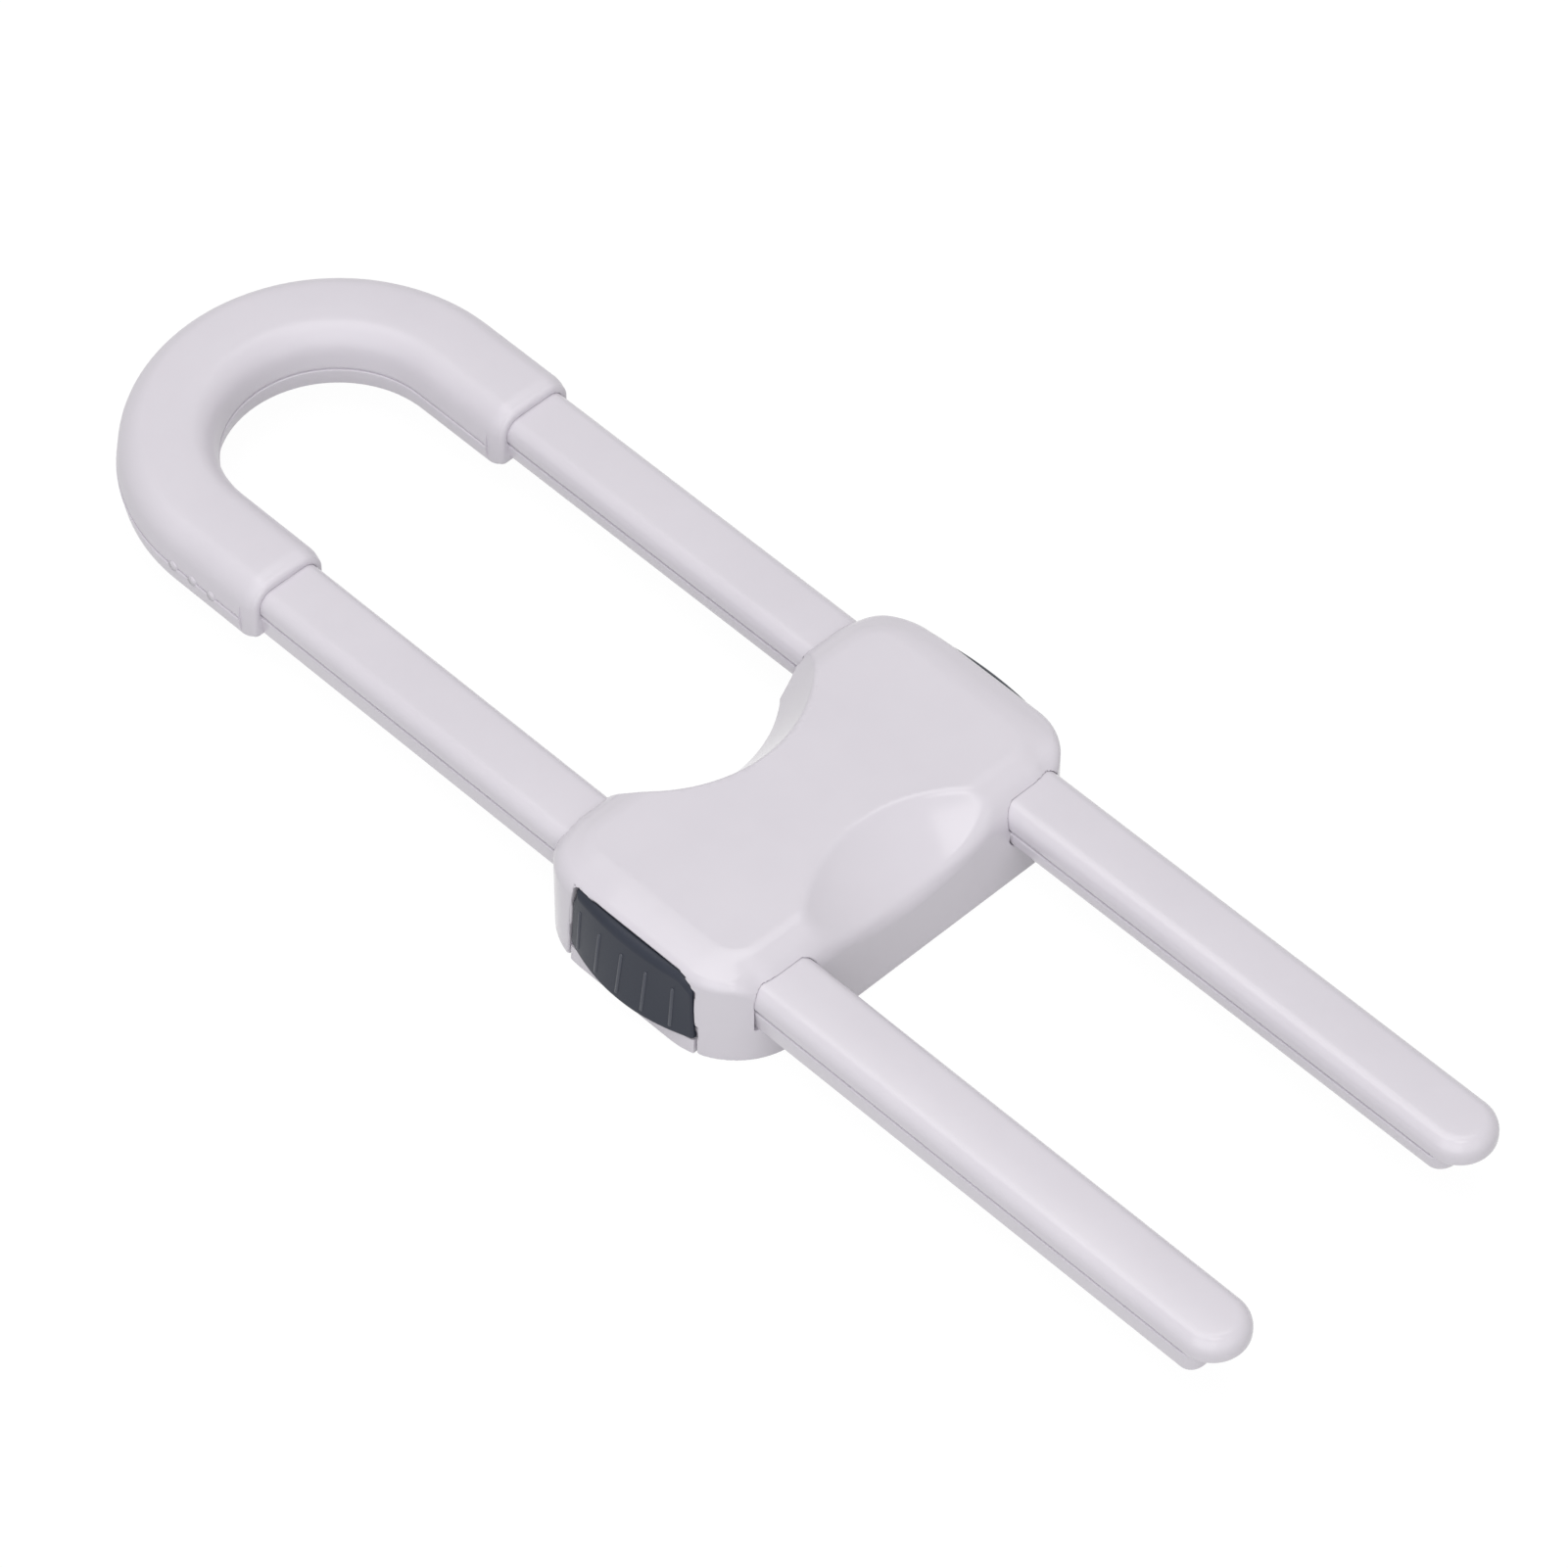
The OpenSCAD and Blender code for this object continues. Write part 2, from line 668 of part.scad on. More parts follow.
bend_upper();
bend_lower();
left_leg();
right_leg();
left_rack();
right_rack();
slider_shell();
slider_base();
base_screws();
left_button();
right_button();
left_pawl();
right_pawl();
left_spring();
right_spring();
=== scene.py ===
"""Looks of the sliding cabinet lock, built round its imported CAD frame. Sizes in the classes are millimetres."""

from __future__ import annotations

import json
import logging
import math
from collections.abc import Callable
from dataclasses import dataclass, field
from enum import Enum
from typing import Any

import bmesh
import bpy
import numpy as np
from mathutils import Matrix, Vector

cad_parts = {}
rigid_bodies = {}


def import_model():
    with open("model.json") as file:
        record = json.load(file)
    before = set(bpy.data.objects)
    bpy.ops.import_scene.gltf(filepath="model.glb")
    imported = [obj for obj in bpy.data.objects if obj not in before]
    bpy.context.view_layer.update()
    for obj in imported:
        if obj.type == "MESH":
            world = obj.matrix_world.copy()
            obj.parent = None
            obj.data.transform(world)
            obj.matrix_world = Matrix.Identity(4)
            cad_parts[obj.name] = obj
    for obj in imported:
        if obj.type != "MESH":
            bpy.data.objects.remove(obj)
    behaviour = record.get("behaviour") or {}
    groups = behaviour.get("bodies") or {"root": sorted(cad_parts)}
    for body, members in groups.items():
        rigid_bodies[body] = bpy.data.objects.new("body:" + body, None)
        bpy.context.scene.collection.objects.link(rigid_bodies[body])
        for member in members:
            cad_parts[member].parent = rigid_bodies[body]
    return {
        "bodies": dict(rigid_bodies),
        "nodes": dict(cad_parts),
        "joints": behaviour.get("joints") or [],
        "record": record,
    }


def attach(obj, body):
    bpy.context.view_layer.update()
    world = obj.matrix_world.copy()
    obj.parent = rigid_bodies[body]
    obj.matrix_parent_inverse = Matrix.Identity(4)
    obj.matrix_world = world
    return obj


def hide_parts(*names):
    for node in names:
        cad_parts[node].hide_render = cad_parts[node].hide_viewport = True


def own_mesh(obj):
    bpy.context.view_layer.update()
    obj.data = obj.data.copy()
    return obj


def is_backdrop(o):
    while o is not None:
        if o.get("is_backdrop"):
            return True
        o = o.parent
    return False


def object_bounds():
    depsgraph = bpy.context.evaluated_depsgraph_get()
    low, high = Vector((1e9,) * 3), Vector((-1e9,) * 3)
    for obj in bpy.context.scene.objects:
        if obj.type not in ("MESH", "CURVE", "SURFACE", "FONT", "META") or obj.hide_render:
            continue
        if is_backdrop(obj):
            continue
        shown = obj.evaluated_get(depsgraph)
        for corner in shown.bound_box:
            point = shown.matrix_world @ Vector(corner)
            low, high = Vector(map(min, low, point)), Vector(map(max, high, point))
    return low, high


LOG = logging.getLogger("cabinet_lock")
MM = 0.001
Array = np.ndarray
Colour = tuple[float, float, float]
Mesh = tuple[Array, list[tuple[int, ...]]]
Solid = Callable[[Array], Array]
SOCKETS = {int: "NodeSocketInt", float: "NodeSocketFloat", tuple: "NodeSocketVector"}
DEEP = 15.0  # half of a cut that reaches below the underside
WELD = 0.002  # points closer than this become one
SHARP = math.radians(42)  # steeper edges of swept pieces stay sharp
ROUND_STEPS = 11  # points on each round corner, and along a crowned top


class Side(Enum):
    """The two sides of the lock, as the sign of Y."""

    LEFT = 1
    RIGHT = -1

    @property
    def word(self) -> str:
        """The side's word in the names of nodes and bodies."""
        return self.name.lower()


class Body(str, Enum):
    """The rigid bodies that pieces ride on."""

    BAR = "u_bar"
    SLIDER = "slider"


class Slot(str, Enum):
    """The record's material slots."""

    WHITE = "white_plastic"
    GREY = "grey_plastic"
    NATURAL = "natural_plastic"
    STEEL = "steel"


# ---------------------------------------------------------------- nodes


def math_node(operation: str, reflected: bool = False) -> Callable[[Term, Any], Term]:
    """Makes an operator that adds one Math node.

    Args:
        operation: What the node works out.
        reflected: Whether the other value comes first.

    Returns:
        The operator.
    """

    def operator(term: Term, other: Any) -> Term:
        """Adds the node for a term and the other value."""
        values = (other, term) if reflected else (term, other)
        return term.bench.add("ShaderNodeMath", {"operation": operation}, dict(enumerate(values)))

    return operator


class Term:
    """A node's output that takes part in Python sums; each sum adds a Math node."""

    __add__, __radd__ = math_node("ADD"), math_node("ADD", True)
    __sub__, __rsub__ = math_node("SUBTRACT"), math_node("SUBTRACT", True)
    __mul__, __rmul__ = math_node("MULTIPLY"), math_node("MULTIPLY", True)
    __truediv__, __rtruediv__ = math_node("DIVIDE"), math_node("DIVIDE", True)
    larger = math_node("MAXIMUM")

    def __init__(self, bench: Bench, socket: bpy.types.NodeSocket | None) -> None:
        """Keeps the socket and the bench that adds to its tree."""
        self.bench = bench
        self.socket = socket


class Bench:
    """Adds nodes to one tree and joins them up."""

    def __init__(self, tree: bpy.types.NodeTree) -> None:
        """Empties the tree, so that each of its nodes is made here."""
        self.tree = tree
        tree.nodes.clear()

    @classmethod
    def shading(cls, owner: bpy.types.Material | bpy.types.World) -> Bench:
        """Starts on the tree of a material or a world."""
        owner.use_nodes = True
        return cls(owner.node_tree)

    def add(
        self,
        kind: str,
        settings: dict[str, Any] | None = None,
        inputs: dict[int | str, Any] | None = None,
        out: int | str = 0,
    ) -> Term:
        """Adds a node.

        Args:
            kind: The node's type.
            settings: Its own settings, which are set first; "stops" is a ramp's list of places and colours.
            inputs: Values or terms for its sockets; a list of terms joins each of them.
            out: The output that is wanted.

        Returns:
            That output as a term.
        """
        node = self.tree.nodes.new(kind)
        for name, value in (settings or {}).items():
            if name == "stops":
                self._set_stops(node.color_ramp, value)
            else:
                setattr(node, name, value)
        for key, value in (inputs or {}).items():
            for part in value if isinstance(value, list) else [value]:
                if isinstance(part, Term):
                    self.tree.links.new(part.socket, node.inputs[key])
                else:
                    node.inputs[key].default_value = part
        return Term(self, node.outputs[out] if node.outputs else None)

    @staticmethod
    def _set_stops(ramp: bpy.types.ColorRamp, stops: list[tuple[float, Colour]]) -> None:
        """Gives a ramp its stops.

        Args:
            ramp: The ramp, with its two first stops.
            stops: Places and colours, two or more.
        """
        while len(ramp.elements) < len(stops):
            ramp.elements.new(1.0)
        for element, (place, colour) in zip(ramp.elements, stops):
            element.position = place
            element.color = (*colour, 1.0)


class GrownPart:
    """A piece that a geometry tree makes from named sizes, and from a first shape if it has one."""

    def __init__(
        self, name: str, lengths: dict[str, Any], numbers: dict[str, Any], base: bpy.types.Object | None = None
    ) -> None:
        """Starts the tree with one named input for each size.

        Args:
            name: The piece's name.
            lengths: Lengths and places in millimetres, by the names of their inputs.
            numbers: Counts and ratios, by the names of their inputs.
            base: The piece that the tree starts from; without one it starts from nothing.
        """
        self.piece = base or bpy.data.objects.new(name, bpy.data.meshes.new(name))
        if base is None:
            bpy.context.scene.collection.objects.link(self.piece)
        self.values = {label: self._metres(value) for label, value in lengths.items()} | numbers
        self.tree = bpy.data.node_groups.new(name, "GeometryNodeTree")
        self.bench = Bench(self.tree)
        sockets = self.tree.interface
        sockets.new_socket("Base", in_out="INPUT", socket_type="NodeSocketGeometry")
        for label, value in self.values.items():
            sockets.new_socket(label, in_out="INPUT", socket_type=SOCKETS[type(value)])
        sockets.new_socket("Mesh", in_out="OUTPUT", socket_type="NodeSocketGeometry")
        start = self.tree.nodes.new("NodeGroupInput")
        self.base = Term(self.bench, start.outputs["Base"])
        self.size = {label: Term(self.bench, start.outputs[label]) for label in self.values}

    @staticmethod
    def _metres(value: float | tuple[float, ...]) -> float | tuple[float, ...]:
        """A length or a place in metres."""
        return tuple(part * MM for part in value) if isinstance(value, tuple) else value * MM

    def finish(self, shape: Term, finish: bpy.types.Material) -> bpy.types.Object:
        """Closes the tree and turns its result into a plain mesh.

        Args:
            shape: The geometry that the tree has made.
            finish: The piece's material.

        Returns:
            The piece, at the origin and with no modifier left.
        """
        add = self.bench.add
        shape = add("GeometryNodeRealizeInstances", {}, {"Geometry": shape})
        shape = add("GeometryNodeSetShadeSmooth", {}, {"Geometry": shape, "Shade Smooth": True})
        shape = add("GeometryNodeSetMaterial", {}, {"Geometry": shape, "Material": finish})
        add("NodeGroupOutput", {}, {"Mesh": shape})
        modifier = self.piece.modifiers.new("grow", "NODES")
        modifier.node_group = self.tree
        for item in self.tree.interface.items_tree:
            if item.in_out == "INPUT" and item.name in self.values:
                modifier[item.identifier] = self.values[item.name]
        graph = bpy.context.evaluated_depsgraph_get()
        mesh = bpy.data.meshes.new_from_object(self.piece.evaluated_get(graph))
        self.piece.modifiers.remove(modifier)
        self.piece.data = mesh
        return self.piece


# ---------------------------------------------------------------- finishes


@dataclass(frozen=True)
class MouldedPlastic:
    """A moulded plastic with faint flow clouds, a fine grain and an uneven gloss."""

    name: str
    pale: Colour
    deep: Colour
    gloss: float
    gloss_spread: float
    cloud: float
    grain: float
    relief: float
    ior: float = 1.5

    def build(self) -> bpy.types.Material:
        """Makes the material.

        Returns:
            The material, with its patterns on Object coordinates.
        """
        material = bpy.data.materials.new(self.name)
        add = Bench.shading(material).add
        place = add("ShaderNodeTexCoord", out="Object")
        clouds = add("ShaderNodeTexNoise", {}, {"Vector": place, "Scale": 1 / (self.cloud * MM), "Detail": 3.0})
        grains = add("ShaderNodeTexNoise", {}, {"Vector": place, "Scale": 1 / (self.grain * MM), "Detail": 2.0})
        colour = add(
            "ShaderNodeValToRGB",
            {"stops": [(0.3, self.deep), (0.7, self.pale)]},
            {"Fac": clouds * 0.8 + grains * 0.2},
        )
        bump = add("ShaderNodeBump", {}, {"Height": grains, "Strength": 0.25, "Distance": self.relief * MM})
        shader = add(
            "ShaderNodeBsdfPrincipled",
            {},
            {
                "Base Color": colour,
                "Roughness": self.gloss + (clouds + grains - 1.0) * self.gloss_spread,
                "IOR": self.ior,
                "Normal": bump,
            },
        )
        add("ShaderNodeOutputMaterial", {}, {"Surface": shader})
        return material


@dataclass(frozen=True)
class PlainSteel:
    """Plain steel wire and screws, with fine scratches."""

    name: str = "plain_steel"
    pale: Colour = (0.56, 0.57, 0.59)
    deep: Colour = (0.42, 0.43, 0.45)
    scratch: float = 0.12

    def build(self) -> bpy.types.Material:
        """Makes the material.

        Returns:
            The metal material.
        """
        material = bpy.data.materials.new(self.name)
        add = Bench.shading(material).add
        place = add("ShaderNodeTexCoord", out="Object")
        streaks = add("ShaderNodeMapping", {}, {"Vector": place, "Scale": (0.2, 1.0, 1.0)})
        noise = add("ShaderNodeTexNoise", {}, {"Vector": streaks, "Scale": 1 / (self.scratch * MM), "Detail": 2.0})
        colour = add("ShaderNodeValToRGB", {"stops": [(0.35, self.deep), (0.65, self.pale)]}, {"Fac": noise})
        shader = add(
            "ShaderNodeBsdfPrincipled",
            {},
            {"Base Color": colour, "Metallic": 1.0, "Roughness": 0.26 + noise * 0.16},
        )
        add("ShaderNodeOutputMaterial", {}, {"Surface": shader})
        return material


@dataclass
class Finishes:
    """The lock's finishes, by the record's slots, with a duller white for the bend and a paler, glossier grey for the
    ribs, whose paler tone is a painted highlight.
    """

    white: MouldedPlastic = MouldedPlastic(
        "gloss_white", (0.725, 0.697, 0.748), (0.700, 0.672, 0.724), 0.17, 0.04, 14.0, 3.0, 0.004
    )
    dull: MouldedPlastic = MouldedPlastic(
        "dull_white", (0.725, 0.697, 0.748), (0.700, 0.672, 0.724), 0.36, 0.05, 14.0, 3.0, 0.004
    )
    grey: MouldedPlastic = MouldedPlastic(
        "satin_grey", (0.024, 0.029, 0.045), (0.019, 0.024, 0.039), 0.44, 0.10, 5.0, 0.22, 0.03, 1.4
    )
    # paler than the button's grey: a painted highlight along the ribs, which are also glossier
    polished: MouldedPlastic = MouldedPlastic(
        "polished_grey", (0.060, 0.066, 0.086), (0.048, 0.054, 0.074), 0.30, 0.08, 5.0, 0.22, 0.01
    )
    natural: MouldedPlastic = MouldedPlastic(
        "natural_slip", (0.62, 0.61, 0.57), (0.56, 0.55, 0.51), 0.42, 0.10, 6.0, 0.4, 0.01
    )
    steel: PlainSteel = PlainSteel()
    made: dict[Slot, bpy.types.Material] = field(default_factory=dict)
    bend: bpy.types.Material | None = None
    ribs: bpy.types.Material | None = None

    def build(self) -> None:
        """Makes the materials."""
        self.made = {
            Slot.WHITE: self.white.build(),
            Slot.GREY: self.grey.build(),
            Slot.NATURAL: self.natural.build(),
            Slot.STEEL: self.steel.build(),
        }
        self.bend = self.dull.build()
        self.ribs = self.polished.build()

    def dress(self, piece: bpy.types.Object, slot: Slot, body: str, *nodes: str) -> None:
        """Gives a finished piece its body and hides the CAD nodes that it stands for.

        Args:
            piece: The piece, in place.
            slot: The record's slot of its finish; not used.
            body: The body that it rides on.
            nodes: The CAD nodes that it stands for.
        """
        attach(piece, body)
        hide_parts(*nodes)
        LOG.info("%s: %d faces on %s", piece.name, len(piece.data.polygons), body)

    def repaint(self, frame: dict[str, Any], node: str, slot: Slot) -> None:
        """Gives a CAD node, whose shape is right, its finish.

        Args:
            frame: The loaded frame.
            node: The node's name.
            slot: The finish.
        """
        mesh = frame["nodes"][node].data
        mesh.materials.clear()
        mesh.materials.append(self.made[slot])
        LOG.info("%s: CAD solid in %s", node, slot.value)


# ---------------------------------------------------------------- meshes


def smooth_piece(
    name: str, points: Array, faces: list[tuple[int, ...]], finish: bpy.types.Material, normals: Array | None = None
) -> bpy.types.Object:
    """Makes a smooth mesh piece at the origin.

    Args:
        name: The piece's name.
        points: Its points, in millimetres.
        faces: Point numbers of each face.
        finish: Its material.
        normals: The surface's own normals at the points, where they are known.

    Returns:
        The piece.
    """
    mesh = bpy.data.meshes.new(name)
    mesh.from_pydata((points * MM).tolist(), [], faces)
    mesh.materials.append(finish)
    mesh.shade_smooth()
    if normals is None:
        shape = bmesh.new()
        shape.from_mesh(mesh)
        bmesh.ops.remove_doubles(shape, verts=shape.verts, dist=WELD * MM)
        bmesh.ops.recalc_face_normals(shape, faces=shape.faces)
        shape.to_mesh(mesh)
        shape.free()
        mesh.set_sharp_from_angle(angle=SHARP)
    else:
        mesh.normals_split_custom_set_from_vertices(normals.tolist())
    piece = bpy.data.objects.new(name, mesh)
    bpy.context.scene.collection.objects.link(piece)
    return piece


def join_pieces(main: bpy.types.Object, *others: bpy.types.Object) -> None:
    """Adds other pieces' meshes to the main piece.

    Args:
        main: The piece that stays.
        others: Pieces of the same finish, which are used up.
    """
    with bpy.context.temp_override(active_object=main, selected_editable_objects=[main, *others]):
        bpy.ops.object.join()


def rounded_loop(
    half_w: float, low: float, high: float, low_r: float | tuple[float, float], high_r: float, crown: float = 0.0
) -> Array:
    """Outline of a section with round corners.

    Args:
        half_w: Half of its width.
        low: Height of its underside.
        high: Height of its top.
        low_r: Radius of its lower corners, or of the inner and the outer one.
        high_r: Radius of its upper corners.
        crown: How far its top falls from the middle to the sides.

    Returns:
        Points as pairs of width and height, the same number for every section.
    """
    inner_r, outer_r = low_r if isinstance(low_r, tuple) else (low_r, low_r)
    turn = np.linspace(0.0, math.pi / 2, ROUND_STEPS)
    loop = []
    for across, level, radius, start in (
        (inner_r - half_w, low + inner_r, inner_r, math.pi),
        (half_w - outer_r, low + outer_r, outer_r, 1.5 * math.pi),
        (half_w - high_r, high - high_r, high_r, 0.0),
        (high_r - half_w, high - high_r, high_r, 0.5 * math.pi),
    ):
        loop.append(np.stack([across + radius * np.cos(start + turn), level + radius * np.sin(start + turn)], 1))
    top = np.linspace(half_w - high_r, high_r - half_w, ROUND_STEPS)[1:-1]
    loop.insert(3, np.stack([top, np.full_like(top, high)], 1))
    points = np.concatenate(loop)
    if crown:
        bow = (half_w**2 + crown**2) / (2 * crown)
        points[:, 1] = np.minimum(points[:, 1], high - bow + np.sqrt(bow**2 - points[:, 0] ** 2))
    return points


def leaned(loop: Array, seam: float, up: float, down: float) -> Array:
    """Section whose walls draw in above and below a seam, as a moulding's walls do.

    Args:
        loop: The section with upright walls.
        seam: Height of the seam.
        up: How far each wall draws in per millimetre above the seam.
        down: How far each wall draws in per millimetre below the seam.

    Returns:
        The section with leaning walls.
    """
    rise = loop[:, 1] - seam
    drawn = np.where(rise > 0, up * rise, -down * rise)
    return np.stack([loop[:, 0] * (1 - drawn / np.abs(loop[:, 0]).max()), loop[:, 1]], 1)


def ring(x: Array | float, y: Array, z: Array) -> Array:
    """Points of one ring; a single x counts for all of them."""
    return np.stack(np.broadcast_arrays(x, y, z), 1)


def skin(rings: list[Array]) -> Mesh:
    """Faces from ring to ring, closed at both ends.

    Args:
        rings: Rings with equal numbers of points.

    Returns:
        All points, and the faces.
    """
    count = len(rings[0])
    faces: list[tuple[int, ...]] = []
    for row in range(len(rings) - 1):
        for i in range(count):
            j = (i + 1) % count
            faces.append((row * count + i, row * count + j, (row + 1) * count + j, (row + 1) * count + i))
    last = (len(rings) - 1) * count
    faces.append(tuple(range(count - 1, -1, -1)))
    faces.append(tuple(range(last, last + count)))
    return np.concatenate(rings), faces


def meet(first: Array, second: Array, radius: Array | float) -> Array:
    """Distance to what two solids share, with a round edge.

    Args:
        first: Distances to one solid.
        second: Distances to the other.
        radius: Radius of the edge where their faces cross.

    Returns:
        The distances.
    """
    inner = np.minimum(-radius, np.maximum(first, second))
    return inner + np.hypot(np.maximum(first + radius, 0), np.maximum(second + radius, 0))


def carve(solid: Array, tool: Array, radius: Array | float) -> Array:
    """Distance to a solid with another cut out of it, with a round rim."""
    return meet(solid, -tool, radius)


def plate(across: Array, along: Array, half_a: Any, half_b: Any, radius: Any) -> Array:
    """Distance to a rectangle with round corners.

    Args:
        across: Places along its first axis, from its middle.
        along: Places along its second axis.
        half_a: Half of its first side.
        half_b: Half of its second side.
        radius: Radius of its corners.

    Returns:
        The distances.
    """
    qa = np.abs(across) - half_a + radius
    qb = np.abs(along) - half_b + radius
    return np.hypot(np.maximum(qa, 0), np.maximum(qb, 0)) + np.minimum(np.maximum(qa, qb), 0) - radius


def ease(places: Array, start: float, end: float) -> Array:
    """Rises smoothly from zero at the start to one at the end."""
    share = np.clip((places - start) / (end - start), 0.0, 1.0)
    return share**2 * (3 - 2 * share)


def graded(*stops: tuple[float, float]) -> Array:
    """Places along an axis whose spacing changes from stretch to stretch.

    Args:
        stops: Where each stretch starts and its spacing; the last one is the end.

    Returns:
        The places, in order.
    """
    places = [
        np.linspace(start, end, math.ceil((end - start) / step), endpoint=False)
        for (start, step), (end, _) in zip(stops, stops[1:])
    ]
    return np.append(np.concatenate(places), stops[-1][0])


@dataclass
class SolidMesher:
    """Meshes a solid that is given as distances, with even faces that lie on its surface."""

    axes: tuple[Array, Array, Array]
    reach: float = 0.15
    rounds: int = 6
    flattest: float = 0.2

    def mesh(self, solid: Solid) -> tuple[Array, list[tuple[int, ...]], Array]:
        """Meshes the solid on the grid of the three axes.

        Args:
            solid: Gives the distance at each place, below zero inside.

        Returns:
            Points, faces, and the surface's normals at the points.
        """
        value = solid(np.array(np.meshgrid(*self.axes, indexing="ij")))
        inside = value < 0
        total = np.zeros(tuple(n - 1 for n in value.shape) + (3,))
        hits = np.zeros(total.shape[:3])
        for axis in range(3):
            for corner in range(4):
                start = np.zeros(3, int)
                start[(axis + 1) % 3], start[(axis + 2) % 3] = corner & 1, corner >> 1
                end = start.copy()
                end[axis] = 1
                first, second = (
                    value[tuple(slice(o, n - 1 + o) for o, n in zip(at, value.shape))] for at in (start, end)
                )
                crossed = (first < 0) != (second < 0)
                total += crossed[..., None] * start
                total[..., axis] += np.where(crossed, first / np.where(crossed, first - second, 1.0), 0.0)
                hits += crossed
        cells = np.argwhere(hits > 0)
        number = np.full(hits.shape, -1)
        number[tuple(cells.T)] = np.arange(len(cells))
        share = total[tuple(cells.T)] / hits[tuple(cells.T)][:, None]
        points = np.stack(
            [axis[c] + f * (axis[c + 1] - axis[c]) for axis, c, f in zip(self.axes, cells.T, share.T)], 1
        )
        faces = np.concatenate([self._faces(inside, number, axis) for axis in range(3)])
        for _ in range(self.rounds):
            slope, height = self._slope(solid, points)
            move = slope * (height / np.maximum((slope**2).sum(1), self.flattest))[:, None]
            points = points - np.clip(move, -self.reach, self.reach)
        slope, _ = self._slope(solid, points)
        return points, faces.tolist(), slope / np.linalg.norm(slope, axis=1)[:, None]

    @staticmethod
    def _faces(inside: Array, number: Array, axis: int) -> Array:
        """Faces across the grid's edges along one axis.

        Args:
            inside: Which grid points are in the solid.
            number: Point number of each cell.
            axis: The axis.

        Returns:
            Point numbers of the faces, turned outwards.
        """
        u, v = (axis + 1) % 3, (axis + 2) % 3
        first = np.take(inside, range(inside.shape[axis] - 1), axis)
        second = np.take(inside, range(1, inside.shape[axis]), axis)
        edge = np.argwhere(first != second)
        corners = []
        for du, dv in ((1, 1), (0, 1), (0, 0), (1, 0)):
            cell = edge.copy()
            cell[:, u] -= du
            cell[:, v] -= dv
            corners.append(number[tuple(cell.T)])
        faces = np.stack(corners, 1)
        turned = ~first[tuple(edge.T)]
        faces[turned] = faces[turned][:, ::-1]
        return faces

    @staticmethod
    def _slope(solid: Solid, points: Array) -> tuple[Array, Array]:
        """Slope of the distances, and the distances.

        Args:
            solid: The solid.
            points: Where they are wanted.

        Returns:
            The slope along each axis, and the distance.
        """
        step = 0.02
        slope = np.zeros_like(points)
        for axis in range(3):
            shift = np.zeros(3)
            shift[axis] = step
            slope[:, axis] = (solid((points + shift).T) - solid((points - shift).T)) / (2 * step)
        return slope, solid(points.T)


# ---------------------------------------------------------------- the bar


@dataclass
class Piece:
    """A sub-assembly that is built in the lock's finishes."""

    finishes: Finishes


@dataclass
class SidedPiece(Piece):
    """A sub-assembly that the lock has on each side."""

    side: Side

    def named(self, word: str) -> str:
        """A name with the side's word before it."""
        return f"{self.side.word}_{word}"


